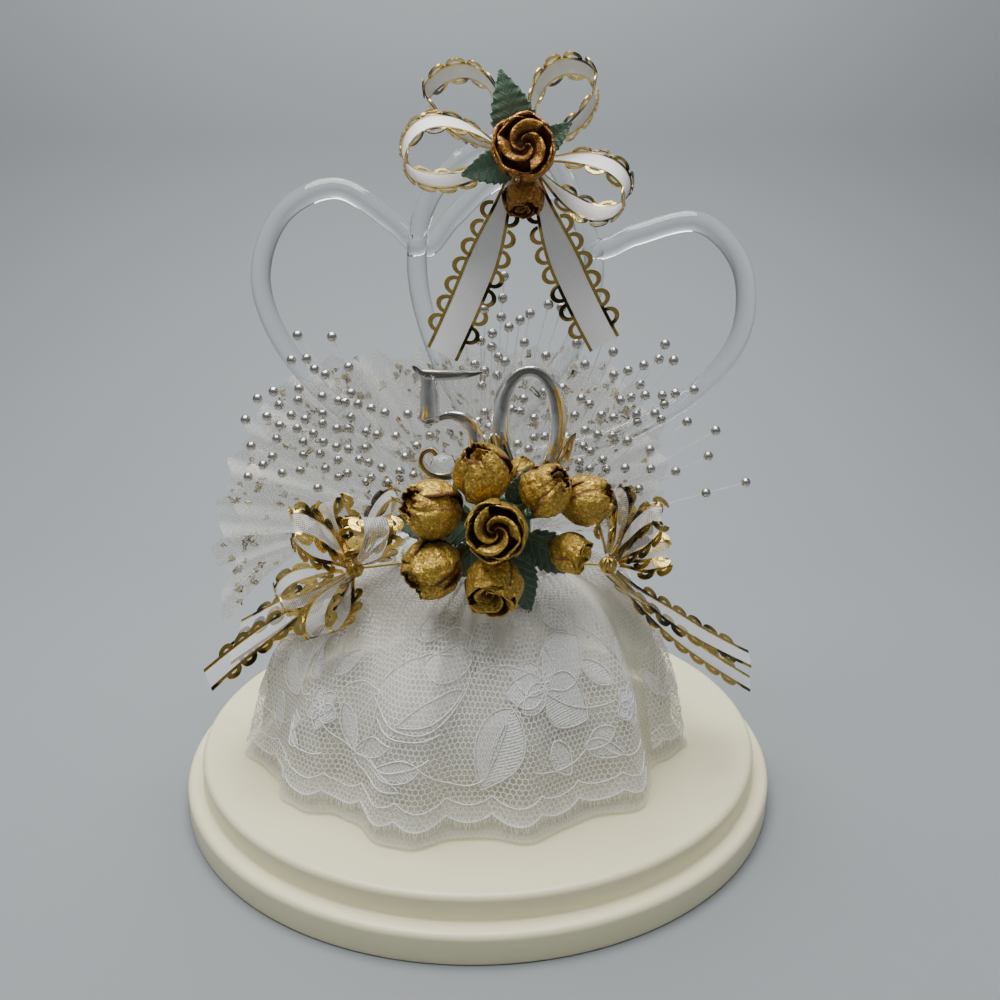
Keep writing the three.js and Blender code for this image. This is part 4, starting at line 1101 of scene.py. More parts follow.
def skirt_surface(profile, offset, angles, rows):
    """Places of a cloth layer, row by row from the waist, offset outward from the profile."""
    line = through(profile, rows, measured=2)
    slope = np.gradient(line[:, :2], axis=0)
    normal = unit(np.column_stack([-slope[:, 1], slope[:, 0]]))
    normal[0] = (1, 0)
    down = np.linspace(0, 1, rows)
    waves = small_waves(angles[None, :], down[:, None])
    radius = (line[:, 0] + normal[:, 0] * offset)[:, None] + line[:, 2][:, None] * skirt_fold(angles) + waves
    x = CORE_X + line[:, 3][:, None] + radius * np.cos(angles)
    y = radius * np.sin(angles)
    z = np.broadcast_to((line[:, 1] + normal[:, 1] * offset)[:, None], radius.shape)
    return np.stack([x, y, z], axis=-1)


# Lace

LACE_FROM_DEG = -26
LACE_TO_DEG = 322
LACE_COLUMNS = 760
LACE_ROWS = 122
LACE_FLAT_W = 360.0
LACE_FLAT_L = 60.0
SCALLOP_DEPTH = 2.2
NET_THREAD_SHARE = 0.17
RIB_PITCH = 0.7
CORD_STEP = 0.55
CORD_LIFT = 0.16
MOTIF_REPEATS = 4
VINE_STEPS = 30
MOTIF_REPEAT_W = LACE_FLAT_W / MOTIF_REPEATS
GATHER_REACH_L = 18
BORDER_W = 4.2
BORDER_FILL = 0.42
FRINGE_PITCH = 0.8
FRINGE_L = 1.7
FRINGE_R = 0.11
FRINGE_TAPER = (1, 0.8, 0.35)
CORD_SIDES = 5
HEM_STEPS = 1500

# A petal's root on the cloth, the way it points, its length and width, and how densely it is filled
Petal = namedtuple("Petal", "along down turn_deg long wide filled")


def petal_half_width(share):
    """A petal's half width along its length, as a share of its greatest half width."""
    return np.sin(math.pi * np.clip(share, 0, 1) ** 0.85) ** 0.8


def flower(along, down, petals, long, wide, start_deg=0.0, filled=1.0):
    """Petals round a middle."""
    return [
        Petal(along, down, start_deg + 360 / petals * i, long, wide, filled) for i in range(petals)
    ]


def lace_motifs():
    """One repeat of the lace's pattern: a large open flower, a small one, leaves and sprigs."""
    large = [(210, 17.5, 13, 0.9), (141, 16, 12.5, 0.9), (-24, 11, 7, 0.8), (4, 12, 7.5, 0.9), (33, 9, 6, 0.8),
             (255, 8, 6.5, 0.5)]
    motifs = [Petal(31, 30, *petal) for petal in large]
    motifs += flower(31, 30, 6, 2.6, 2.1, start_deg=20, filled=0.0)
    motifs += flower(6, 39, 5, 5.0, 4.6, start_deg=18)
    motifs += flower(6, 39, 5, 1.7, 1.3, start_deg=54, filled=0.0)
    motifs += [
        Petal(6, 31, 228, 9, 4.6, 0.9), Petal(10, 33, -38, 10, 5, 0.9), Petal(12, 43, 28, 9, 4.5, 0.8),
        Petal(41, 34, 67, 20, 12, 0.85), Petal(42.5, 37, 67, 14, 1.1, 0.0), Petal(30, 43, 118, 10, 6, 0.7),
        Petal(53, 28, 10, 29, 17, 0.3), Petal(53, 25, -4, 15, 8, 0.6), Petal(55, 31, 22, 17, 5, 0.55),
        Petal(84, 47, -107, 15, 5, 0.2), Petal(84, 47, -58, 12, 5, 0.8), Petal(84, 47, 203, 13, 4.5, 0.5),
        Petal(84, 48, 168, 16, 4, 0.5), Petal(64, 46, 12, 12, 5, 0.8), Petal(20, 46, 160, 10, 4.5, 0.7),
        Petal(74, 17, 195, 14, 7, 0.7), Petal(16, 17, -12, 12, 6, 0.7), Petal(47, 16, 40, 10, 6, 0.6),
    ]
    return motifs


# Cords that join the motifs of one repeat: start, the place they bend towards, and end
VINES = [
    ((11, 37), (20, 40), (31, 32)), ((31, 31), (38, 30), (41, 35)), ((52, 28), (42, 22), (33, 28)),
    ((62, 44), (72, 50), (84, 47)), ((84, 47), (91, 46), (95, 41)), ((48, 50), (55, 54), (64, 46)),
    ((5, 34), (4, 24), (16, 18)), ((74, 18), (64, 12), (53, 20)), ((36, 48), (26, 52), (20, 47)),
    ((78, 33), (86, 30), (91, 33)), ((60, 39), (70, 42), (78, 38)), ((16, 46), (12, 52), (3, 49)),
]


def vine_lines():
    """The cords between the motifs over the whole strip of lace."""
    repeats = range(-1, MOTIF_REPEATS + 1)
    return [bowed(*(np.array(place) + (MOTIF_REPEAT_W * i, 0) for place in vine), VINE_STEPS)
            for i in repeats for vine in VINES]


def all_petals():
    """The pattern's petals over the whole strip of lace."""
    repeats = range(-1, MOTIF_REPEATS + 1)
    return [p._replace(along=p.along + MOTIF_REPEAT_W * i) for i in repeats for p in lace_motifs()]


def lace_fill(along, down):
    """How dense the lace is at each place, and where its ribs run."""
    fill = np.zeros(along.shape)
    rib = np.zeros(along.shape)
    for petal in all_petals():
        turn = math.radians(petal.turn_deg)
        a, b = along - petal.along, down - petal.down
        forward = a * math.cos(turn) + b * math.sin(turn)
        sideways = b * math.cos(turn) - a * math.sin(turn)
        half = petal.wide / 2 * petal_half_width(forward / petal.long)
        inside = (forward > 0) & (forward < petal.long) & (np.abs(sideways) < half)
        if not inside.any():
            continue
        edge = np.clip((half - np.abs(sideways)) / 0.45, 0, 1)
        fill[inside] = np.maximum(fill, edge * petal.filled)[inside]
        rib[inside] = (forward * 0.8 + np.abs(sideways) * 0.75)[inside]
    return fill, rib


def scallop(along, pitch):
    """How far the hem is cut back at each place along it."""
    return SCALLOP_DEPTH * (1 - np.abs(np.sin(math.pi * along / pitch)) ** 0.7)


def on_sheet(points, rows, columns):
    """Places on a grid of points, at rows and columns that may lie between them."""
    rows = np.clip(rows, 0, points.shape[0] - 1.001)
    columns = np.clip(columns, 0, points.shape[1] - 1.001)
    row, column = rows.astype(int), columns.astype(int)
    low, left = (rows - row)[:, None], (columns - column)[:, None]
    top = blend(points[row, column], points[row, column + 1], left)
    bottom = blend(points[row + 1, column], points[row + 1, column + 1], left)
    return blend(top, bottom, low)


def sheet_normals(points):
    """The outward direction at each point of a grid round the core."""
    normal = unit(np.cross(np.gradient(points, axis=1), np.gradient(points, axis=0)))
    outward = points - np.array([CORE_X, 0, CORE_TOP_Z - 40])
    flip = np.sign((normal * outward).sum(-1, keepdims=True))
    return normal * flip


def make_lace(sizes, colours):
    """The gathered lace: its net, its raised cords, its scalloped hem and its fringe."""
    angles = np.radians(np.linspace(LACE_FROM_DEG, LACE_TO_DEG, LACE_COLUMNS))[::-1]
    points = skirt_surface(skirt_profile(), CLOTH_T + LAYER_GAP, angles, LACE_ROWS)
    strip_along = np.linspace(0, LACE_FLAT_W, LACE_COLUMNS)
    pitch = sizes.scallop_pitch / MM
    kept = 1 - scallop(strip_along, pitch) / LACE_FLAT_L
    row_share = np.linspace(0, 1, LACE_ROWS)[:, None] * kept[None, :]
    rows = row_share * (LACE_ROWS - 1)
    columns = np.broadcast_to(np.arange(LACE_COLUMNS)[None, :], rows.shape).astype(float)
    cut = on_sheet(points, rows.ravel(), columns.ravel()).reshape(points.shape)
    down = row_share * LACE_FLAT_L
    along = np.broadcast_to(strip_along[None, :], down.shape)
    fill, rib = lace_fill(along, down)
    from_hem = LACE_FLAT_L * kept[None, :] - down
    band = BORDER_FILL * (1 - smooth((from_hem - BORDER_W) / 0.8))
    border = np.maximum(1 - smooth((from_hem - 0.3) / 0.8), band)
    gather = np.broadcast_to(0.9 * (1 - smooth(down / GATHER_REACH_L)), down.shape)
    pleats = along * 0.3 + 0.25 * np.sin(along * 0.4)
    plain = np.where(down < GATHER_REACH_L, pleats, along * 0.8 + from_hem * 0.3)
    rib = np.where(fill > 0, rib, plain)
    cloth = piece_of("lace_cloth", grid(
        cut, uv=np.stack([along, down], axis=-1), fill=np.maximum(fill, border), rib=rib, gather=gather))
    settle(cloth, raschel_lace(sizes, colours), ["lace_skirt"])

    thread = lace_thread(colours)
    normals = sheet_normals(points)
    lifted = points + normals * CORD_LIFT

    def laid(line):
        """Places on the lifted cloth for a line drawn on the flat strip."""
        return on_sheet(lifted, line[:, 1] / LACE_FLAT_L * (LACE_ROWS - 1),
                        line[:, 0] / LACE_FLAT_W * (LACE_COLUMNS - 1))

    outlines = [petal_outline(petal) for petal in all_petals()]
    hem = np.column_stack([strip_along, kept * LACE_FLAT_L])
    inside = [line for line in outlines if on_strip(line)]
    cord_r = sizes.lace_cord_width / MM / 2
    cords = wires("lace_cords", [laid(line) for line in inside], cord_r, CORD_SIDES, thread, joined=True)
    settle(cords, thread)
    vines = [laid(line) for line in vine_lines() if on_strip(line)]
    hem_lines = [laid(spaced(hem - (0, up), HEM_STEPS, 2)) for up in (0, BORDER_W)]
    edge = wires("lace_hem_cord", hem_lines + vines, cord_r, CORD_SIDES, thread)
    settle(edge, thread)
    fringe_along = np.arange(1, LACE_FLAT_W - 1, FRINGE_PITCH)
    hem_down = np.interp(fringe_along, hem[:, 0], hem[:, 1])
    start = laid(np.column_stack([fringe_along, hem_down]))
    above = laid(np.column_stack([fringe_along, hem_down - 2]))
    sway = 0.35 * np.sin(fringe_along * 2.7)[:, None] * np.gradient(start, axis=0)
    lash = start + (unit(start - above) + sway) * FRINGE_L
    lashes = np.stack([start, blend(start, lash, 0.5), lash], axis=1)
    fringe = wires("lace_fringe", list(lashes), FRINGE_R, 3, thread, thick=[FRINGE_TAPER] * len(lashes))
    settle(fringe, thread)


def petal_outline(petal):
    """The closed line round a petal on the flat strip."""
    turn = math.radians(petal.turn_deg)
    share = np.linspace(0, 1, max(int(petal.long / CORD_STEP), 6))
    half = petal.wide / 2 * petal_half_width(share)
    forward = np.concatenate([share, share[-2:0:-1]]) * petal.long
    sideways = np.concatenate([half, -half[-2:0:-1]])
    return np.column_stack([
        petal.along + forward * math.cos(turn) - sideways * math.sin(turn),
        petal.down + forward * math.sin(turn) + sideways * math.cos(turn)])


def on_strip(line):
    """Whether a line lies on the strip of lace, clear of its hem."""
    return (line[:, 0].min() > 0.5 and line[:, 0].max() < LACE_FLAT_W - 0.5 and line[:, 1].min() > 6
            and line[:, 1].max() < LACE_FLAT_L - SCALLOP_DEPTH)


# Underskirt

UNDERSKIRT_SPREAD_W = 3
UNDERSKIRT_COLUMNS = 480
UNDERSKIRT_ROWS = 70
UNDERSKIRT_FLAT_W = 330.0
UNDERSKIRT_FLAT_L = 62.0
TULLE_PITCH = 1.1
TULLE_HEM_FADE = 0.4
TULLE_HEM_L = 9
TULLE_THREAD_SHARE = 0.12
UNDERSKIRT_GATHER_L = 40

# How much of the tulle is solid where it lies open and where it is gathered
SKIRT_TULLE_COVER = (0.62, 0.97)
FAN_TULLE_COVER = (0.24, 0.8)


def make_underskirt(colours):
    """The longer plain tulle under the lace, which spreads on the base."""
    lace = skirt_profile()
    hem = lace[-1]
    knee = hem + np.array([-UNDERSKIRT_SPREAD_W / 3, LACE_HEM_LIFT / 2, 0, 0])
    spread = hem + np.array([UNDERSKIRT_SPREAD_W, TABLE_Z + SEAT_GAP + CLOTH_T / 2 - hem[1], 0, 0])
    rows = np.vstack([lace[[0, 2, 4, 5]], knee, spread])
    angles = np.linspace(0, 2 * math.pi, UNDERSKIRT_COLUMNS, endpoint=False)
    points = skirt_surface(rows, CLOTH_T / 2, angles, UNDERSKIRT_ROWS)
    down = np.linspace(0, UNDERSKIRT_FLAT_L, UNDERSKIRT_ROWS)
    along = np.linspace(0, UNDERSKIRT_FLAT_W, UNDERSKIRT_COLUMNS + 1)
    uv = np.stack(np.meshgrid(down, along, indexing="ij")[::-1], axis=-1)
    gather = np.broadcast_to((1 - smooth(down / UNDERSKIRT_GATHER_L))[:, None], points.shape[:2])
    skirt = piece_of("tulle_layer", grid(points, across_closed=True, uv=uv, gather=gather))
    fading = (UNDERSKIRT_FLAT_L - TULLE_HEM_L, UNDERSKIRT_FLAT_L)
    tulle = plain_tulle("skirt_tulle", colours, *SKIRT_TULLE_COVER, hem=fading)
    settle(skirt, tulle, ["tulle_underskirt"])


# Fan

FAN_FROM_DEG = -4
FAN_TO_DEG = 200
FAN_PLEATS = 15
FAN_REACH = 74
FAN_Y = 9
FAN_ROOT_R = 3
FAN_RIPPLE_DEPTH = 1.8
FAN_REACH_SHARES = [0.55, 0.64, 0.7, 0.73, 0.7, 0.64, 0.65, 0.68, 0.81, 0.885, 0.92, 0.965, 1]
FAN_COLUMNS = 340
FAN_ROWS = 60
FAN_FLAT_W = 2 * FAN_REACH
FAN_CUT_SHARE = 0.57
FAN_GATHER_L = 30
FLECK_SEED = 7
FLECK_CHIP_L = 0.56
FLECK_CHIP_W = 0.2
FLECK_CHIP_T = 0.1
FLECK_LIFT = 0.12

# Each chip's turn in degrees and its place in the cluster
FLECK_CHIPS = [
    (10, (-0.34, 0.04)), (75, (0.2, 0.22)), (140, (0.14, -0.26)), (35, (-0.08, 0.3)), (110, (0.42, -0.02)),
]

# Each layer's reach, the turn of its ripples and how far its rim leans back
FAN_LAYERS = {"fan_back_layer": (1.0, 0.0, 0.0), "fan_front_layer": (0.93, 1.9, -2.6)}


def fan_surface(reach_share, ripple_turn, forward):
    """Places of one layer of the fan, out from its root."""
    share = np.linspace(0, 1, FAN_COLUMNS)[None, :]
    out = np.linspace(0, 1, FAN_ROWS)[:, None]
    angle = np.radians(blend(FAN_FROM_DEG, FAN_TO_DEG, share))
    known = np.linspace(0, 1, len(FAN_REACH_SHARES))
    reach = np.interp(share, known, FAN_REACH_SHARES) * FAN_REACH * reach_share
    ragged = 1 + 0.018 * np.sin(37 * share * math.pi + ripple_turn) + 0.012 * np.sin(83 * share * math.pi)
    radius = blend(FAN_ROOT_R, reach * ragged, out)
    rise = radius * np.sin(angle)
    hang = np.where(rise < 0, (radius / FAN_REACH) ** 3, 1)
    ripple = FAN_RIPPLE_DEPTH * out * np.sin(2 * math.pi * FAN_PLEATS * share + ripple_turn)
    crease = 0.5 * out * np.sin(2 * math.pi * 41 * share + 3 * out + ripple_turn)
    y = FAN_Y + forward * out + ripple + crease
    root_z = CORE_TOP_Z + SEAT_GAP
    return np.stack([CORE_X + radius * np.cos(angle), y, root_z + rise * hang], axis=-1)


def fleck_growth():
    """Small shapes scattered over a cloth, lying on it at any turn."""
    growth = Growth("Scattered flecks", Shape="NodeSocketObject", Density="NodeSocketFloat", Seed="NodeSocketInt",
                    Size="NodeSocketFloat")
    spots = growth.node("GeometryNodeDistributePointsOnFaces", {"distribute_method": "RANDOM"}, {
        "Mesh": growth.given("Geometry"), "Density": growth.given("Density"), "Seed": growth.given("Seed")})
    spin = growth.node("FunctionNodeRandomValue", {"data_type": "FLOAT"},
                       {"Min_001": 0.0, "Max_001": 2 * math.pi, "Seed": 3})
    about = growth.node("FunctionNodeAxisAngleToRotation", None, {"Axis": (0.0, 0.0, 1.0), "Angle": spin.outputs[1]})
    turn = growth.node("FunctionNodeRotateRotation", {"rotation_space": "LOCAL"},
                       {"Rotation": spots.outputs["Rotation"], "Rotate By": about.outputs[0]})
    grown = growth.node("FunctionNodeRandomValue", {"data_type": "FLOAT"},
                        {"Min_001": 0.5, "Max_001": 1.15, "Seed": 11})
    sized = growth.node("ShaderNodeMath", {"operation": "MULTIPLY"},
                        {0: grown.outputs[1], 1: growth.given("Size")})
    laid = growth.node("GeometryNodeInstanceOnPoints", None, {
        "Points": spots.outputs["Points"], "Instance": growth.repeated(), "Rotation": turn.outputs[0],
        "Scale": sized.outputs[0]})
    return growth.finish(laid.outputs[0])


def fleck_form():
    """A few thin chips close together, about one millimetre across, a little above the cloth."""
    chips = []
    for turn_deg, shift in FLECK_CHIPS:
        turn = math.radians(turn_deg)
        across = np.array([math.cos(turn), math.sin(turn), 0]) * FLECK_CHIP_L / 2
        up = np.array([-math.sin(turn), math.cos(turn), 0]) * FLECK_CHIP_W / 2
        middle = np.array([*shift, FLECK_LIFT])
        lift = np.array([0, 0, FLECK_CHIP_T / 2])
        ring = np.array([-across - up, across - up, across + up, -across + up])
        chips.append(lofted([middle + ring - lift, middle + ring * 0.9 + lift]))
    return together(chips)


def make_fan(sizes, colours):
    """Two layers of thin tulle behind the hearts, scattered with foil."""
    along = np.linspace(0, FAN_FLAT_W * math.pi / 2, FAN_COLUMNS)
    down = np.linspace(0, FAN_REACH, FAN_ROWS)
    uv = np.stack(np.meshgrid(down, along, indexing="ij")[::-1], axis=-1)
    gather = np.broadcast_to((1 - smooth(down / FAN_GATHER_L))[:, None], uv.shape[:2])
    tulle = plain_tulle("fan_tulle", colours, *FAN_TULLE_COVER)
    foil = foil_flecks(colours)
    for i, (name, (reach, turn, forward)) in enumerate(FAN_LAYERS.items()):
        layer = piece_of(name, grid(fan_surface(reach, turn, forward), uv=uv, gather=gather))
        scatter = in_scene(f"{name}_flecks", layer.data.copy())
        pattern = piece_of("fleck_shape", fleck_form())
        cut = FAN_FLAT_W * FAN_REACH * reach**2 * FAN_CUT_SHARE * MM**2
        flecks = fleck_growth().grow(
            scatter, Shape=pattern, Density=sizes.fleck_count / len(FAN_LAYERS) / cut, Seed=FLECK_SEED + i,
            Size=sizes.fleck_width / MM, Material=foil)
        bpy.data.objects.remove(pattern)
        settle(layer, tulle, ["tulle_fan"] if i == 0 else ())
        settle(flecks, foil)


# Numerals

NUMERAL_H = 26.5
NUMERAL_T = 2.4
NUMERAL_Y = -17
NUMERAL_FOOT_Z = CORE_TOP_Z + 21.3
PICK_D = 2
PICK_DEPTH = 14
STROKE_STEPS_PER_SHARE = 60
STROKE_FULLNESS = 1.14
FIVE_X = -14.5
ZERO_X = 3.6
FIVE_PICK_SHARE = 0.36
ZERO_PICK_SHARE = 0.33
FIVE_STROKES = [
    [(0.01, 1, 0.04), (0.04, 0.985, 0.05), (0.09, 0.94, 0.07), (0.2, 0.922, 0.085), (0.4, 0.924, 0.07),
     (0.52, 0.932, 0.045), (0.61, 0.945, 0.02)],
    [(0.145, 0.93, 0.13), (0.15, 0.75, 0.15), (0.15, 0.6, 0.16), (0.142, 0.5, 0.2)],
    [(0.1, 0.51, 0.05), (0.2, 0.54, 0.055), (0.33, 0.575, 0.07), (0.46, 0.53, 0.11), (0.54, 0.43, 0.14),
     (0.565, 0.3, 0.145), (0.52, 0.17, 0.13), (0.41, 0.07, 0.09), (0.27, 0.03, 0.06), (0.14, 0.06, 0.05),
     (0.07, 0.15, 0.05), (0.09, 0.24, 0.05), (0.16, 0.27, 0.05), (0.21, 0.22, 0.07)],
]
ZERO_STROKES = [
    [(0.52, 0.1, 0.1), (0.62, 0.18, 0.12), (0.66, 0.28, 0.11), (0.69, 0.36, 0.08), (0.73, 0.42, 0.03)],
    [(0.05, 0.12, 0.08), (0.02, 0.2, 0.1), (0.03, 0.32, 0.11), (0.02, 0.42, 0.07)],
]
ZERO_MIDDLE = (0.33, 0.5)
ZERO_REACH = (0.2575, 0.46)
ZERO_WIDTHS = (0.145, 0.085)
ZERO_STEPS = 96

# A stroke's section: across as shares of its half width, depth as shares of its half thickness
STROKE_FRONT = [
    (-1, 0), (-0.92, 0.6), (-0.76, 0.95), (-0.6, 0.95), (-0.34, 0.5), (0, 0.2), (0.34, 0.5), (0.6, 0.95),
    (0.76, 0.95), (0.92, 0.6), (1, 0),
]
STROKE_BACK = [(0.9, -0.6), (0.6, -0.9), (0, -1), (-0.6, -0.9), (-0.9, -0.6)]
# How much painted shade each point of the section gets: most in the hollow between the ridges, some at the edges and
# on the back
STROKE_GROOVE_SHADE = [0.5, 0, 0, 0, 0.8, 1, 0.8, 0, 0, 0, 0.5] + [0.5] * len(STROKE_BACK)


def stroke_body(shares, x, closed=False):
    """A raised metal stroke with two ridges, in the numerals' upright plane."""
    shares = np.asarray(shares, float)
    if closed:
        tangent = np.roll(shares, -1, axis=0)[:, :2] - np.roll(shares, 1, axis=0)[:, :2]
    else:
        tangent = np.gradient(shares[:, :2], axis=0)
    across = unit(np.column_stack([-tangent[:, 1], tangent[:, 0]]))
    middle = np.column_stack([x + shares[:, 0] * NUMERAL_H, np.full(len(shares), NUMERAL_Y),
                              NUMERAL_FOOT_Z + shares[:, 1] * NUMERAL_H])
    half = shares[:, 2] * NUMERAL_H / 2 * STROKE_FULLNESS
    deep = NUMERAL_T / 2 * np.clip(half / 0.75, 0.35, 1)
    section = np.array(STROKE_FRONT + STROKE_BACK)
    offset = across[:, None] * (half[:, None] * section[:, 0])[..., None]
    rings = np.repeat(middle[:, None], len(section), axis=1)
    rings[..., 0] += offset[..., 0]
    rings[..., 2] += offset[..., 1]
    rings[..., 1] -= deep[:, None] * section[:, 1]
    groove = np.broadcast_to(STROKE_GROOVE_SHADE, rings.shape[:2])
    return ring_body(rings, groove=groove) if closed else lofted(rings, groove=groove)


def ring_body(rings, **marks):
    """A closed ring-shaped body through sections that join end to end."""
    count, sides = rings.shape[:2]
    faces = []
    for i in range(count):
        here, there = i * sides, (i + 1) % count * sides
        faces += [(here + k, here + (k + 1) % sides, there + (k + 1) % sides, there + k) for k in range(sides)]
    return shape(rings, faces, **{name: np.ravel(mark) for name, mark in marks.items()})


def pick_body(x):
    """The pin that a numeral stands on."""
    radius = PICK_D / 2
    bottom = CORE_TOP_Z - PICK_DEPTH
    profile = [(0, bottom), (radius * 0.5, bottom), (radius, bottom + 1), (radius, NUMERAL_FOOT_Z + 1.6),
               (radius * 0.5, NUMERAL_FOOT_Z + PICK_D), (0, NUMERAL_FOOT_Z + PICK_D)]
    pin = turned(profile, 20, (x, NUMERAL_Y))
    return pin._replace(marks={"groove": np.zeros(len(pin.points))})


def stroke_line(shares):
    """A stroke's places, close enough together for a smooth edge, with round ends."""
    reach = np.abs(np.diff(np.array(shares)[:, :2], axis=0)).sum()
    line = through(shares, max(int(reach * STROKE_STEPS_PER_SHARE), 14), measured=2)
    ends = np.ones(len(line))
    ends[[0, -1]] = 0.45
    ends[[1, -2]] = 0.85
    line[:, 2] *= ends
    return line


def outward_faces(piece):
    """Turns every face of a closed piece to the outside."""
    work = bmesh.new()
    work.from_mesh(piece.data)
    bmesh.ops.recalc_face_normals(work, faces=work.faces)
    work.to_mesh(piece.data)
    work.free()
    return piece


def make_numerals(colours):
    """The plated 5 and 0, each on its pick."""
    chrome = silver_plate("bright_numerals", toned(colours.silver, 1.18), 0.1, 0.1)
    five = [stroke_body(stroke_line(shares), FIVE_X) for shares in FIVE_STROKES]
    five.append(pick_body(FIVE_X + FIVE_PICK_SHARE * NUMERAL_H))
    angle = round_angles(ZERO_STEPS)
    around = np.column_stack([
        ZERO_MIDDLE[0] + ZERO_REACH[0] * np.cos(angle), ZERO_MIDDLE[1] + ZERO_REACH[1] * np.sin(angle),
        blend(*ZERO_WIDTHS, np.sin(angle) ** 2)])
    zero = [stroke_body(around, ZERO_X, closed=True)]
    zero += [stroke_body(stroke_line(shares), ZERO_X) for shares in ZERO_STROKES]
    zero.append(pick_body(ZERO_X + ZERO_PICK_SHARE * NUMERAL_H))
    for name, parts in {"number_five": five, "number_zero": zero}.items():
        numeral = outward_faces(piece_of(f"{name}_plated", together(parts), math.radians(50)))
        settle(numeral, chrome, [name])


# Bouquet

HUB_D = 12
HUB = np.array([6, -25, CORE_TOP_Z + 13])
HUB_STEM_END = np.array([6, -14, CORE_TOP_Z - 12])
HUB_STEM_D = 3.4
TAPE_PITCH = 3.0
HUB_SHARES = [(-0.5, 0.5), (-0.42, 0.72), (-0.2, 0.94), (0.1, 0.98), (0.36, 0.7), (0.49, 0.3)]


def rings_about(start, way, profile, sides):
    """Rings of points about a direction, from distances along it and radii."""
    across, up = square_to(way)
    angle = round_angles(sides)
    out = np.cos(angle)[:, None] * across + np.sin(angle)[:, None] * up
    return np.array([start + way * distance + radius * out for distance, radius in profile])


def make_stem(colours):
    """The wires of all the flowers, taped into one stem that swells among the buds."""
    way = unit(HUB - HUB_STEM_END)
    reach = np.linalg.norm(HUB - HUB_STEM_END)
    profile = [(0, 0.6), (0.4, HUB_STEM_D / 2 * 0.9), (1.2, HUB_STEM_D / 2)]
    profile += [(distance, HUB_STEM_D / 2) for distance in np.linspace(2, reach - 0.57 * HUB_D, 14)]
    profile += [(reach + along * HUB_D, out * HUB_D / 2) for along, out in HUB_SHARES]
    line = through(profile, 70, measured=2)
    rings = rings_about(HUB_STEM_END, way, line, 36)
    form = lofted(rings)
    sides = 36
    wound = []
    for face in form.faces:
        for i in face:
            row, column = divmod(int(i), sides) if i < len(line) * sides else (0, 0)
            wound.append((line[min(row, len(line) - 1), 0], column * 0.3))
    stem = piece_of("bouquet_stem_taped", shape(form.points, form.faces, np.array(wound)))
    settle(outward_faces(stem), crepe_tape(colours), ["bouquet_stem"])


# Rosebuds

BUD_D = 12.6
BUD_STEM_D = 1.5
PETAL_T = 0.28
PETAL_ACROSS = 30
PETAL_UP = 26
SWIRL_ALONG = 40
SWIRL_UP = 12
BUD_FULLNESS = 1.08
PETAL_TURN_DEG = 137
FLOWER_CUP_SIDES = 20
OPEN_FROM = 0.7

# The petals of a flower's middle, how far round each turns, how far out it reaches and how its rim curls
Swirl = namedtuple("Swirl", "petals turns reach curl")
OPEN_FLOWER = (Swirl(3, 0.62, 0.62, 0.32), (0.72, 0.8, 0.87, 0.93, 0.97, 1.0))
CLOSED_FLOWER = (Swirl(3, 0.6, 0.34, 0.1), (0.5, 0.62, 0.74, 0.84, 0.92, 1.0))

# A wrapped cup's half width from its foot to its rim, for a flower that is open and for one that is shut
CUP_PLACES = [0, 0.08, 0.22, 0.45, 0.7, 0.9, 1]
OPEN_CUP_WIDTHS = [0.16, 0.45, 0.78, 1.0, 0.93, 0.76, 0.66]
SHUT_CUP_WIDTHS = [0.16, 0.5, 0.82, 1.0, 0.92, 0.62, 0.3]

# The middle from the hub in bud widths, the bud's size, how open it is and its first petal's turn
Bud = namedtuple("Bud", "at size open turn_deg")
BUDS = [
    Bud((-0.34, -0.64, 1.13), 1, 0.25, 250),
    Bud((-1.2, -0.66, 0.5), 1.04, 0.35, 20),
    Bud((-1.2, -0.82, -0.56), 1.04, 0.55, 60),
    Bud((-0.14, -1.12, -0.73), 1, 0.75, 100),
    Bud((-0.1, -1.3, 0.3), 1.04, 1.0, 200),
    Bud((0.76, -0.72, 0.86), 0.9, 0.3, 300),
    Bud((1.5, -0.32, 0.52), 0.92, 0.35, 140),
    Bud((1.2, -0.68, -0.3), 0.72, 0.75, 330),
    Bud((0.36, 0.02, 0.98), 0.5, 0.3, 0),
]


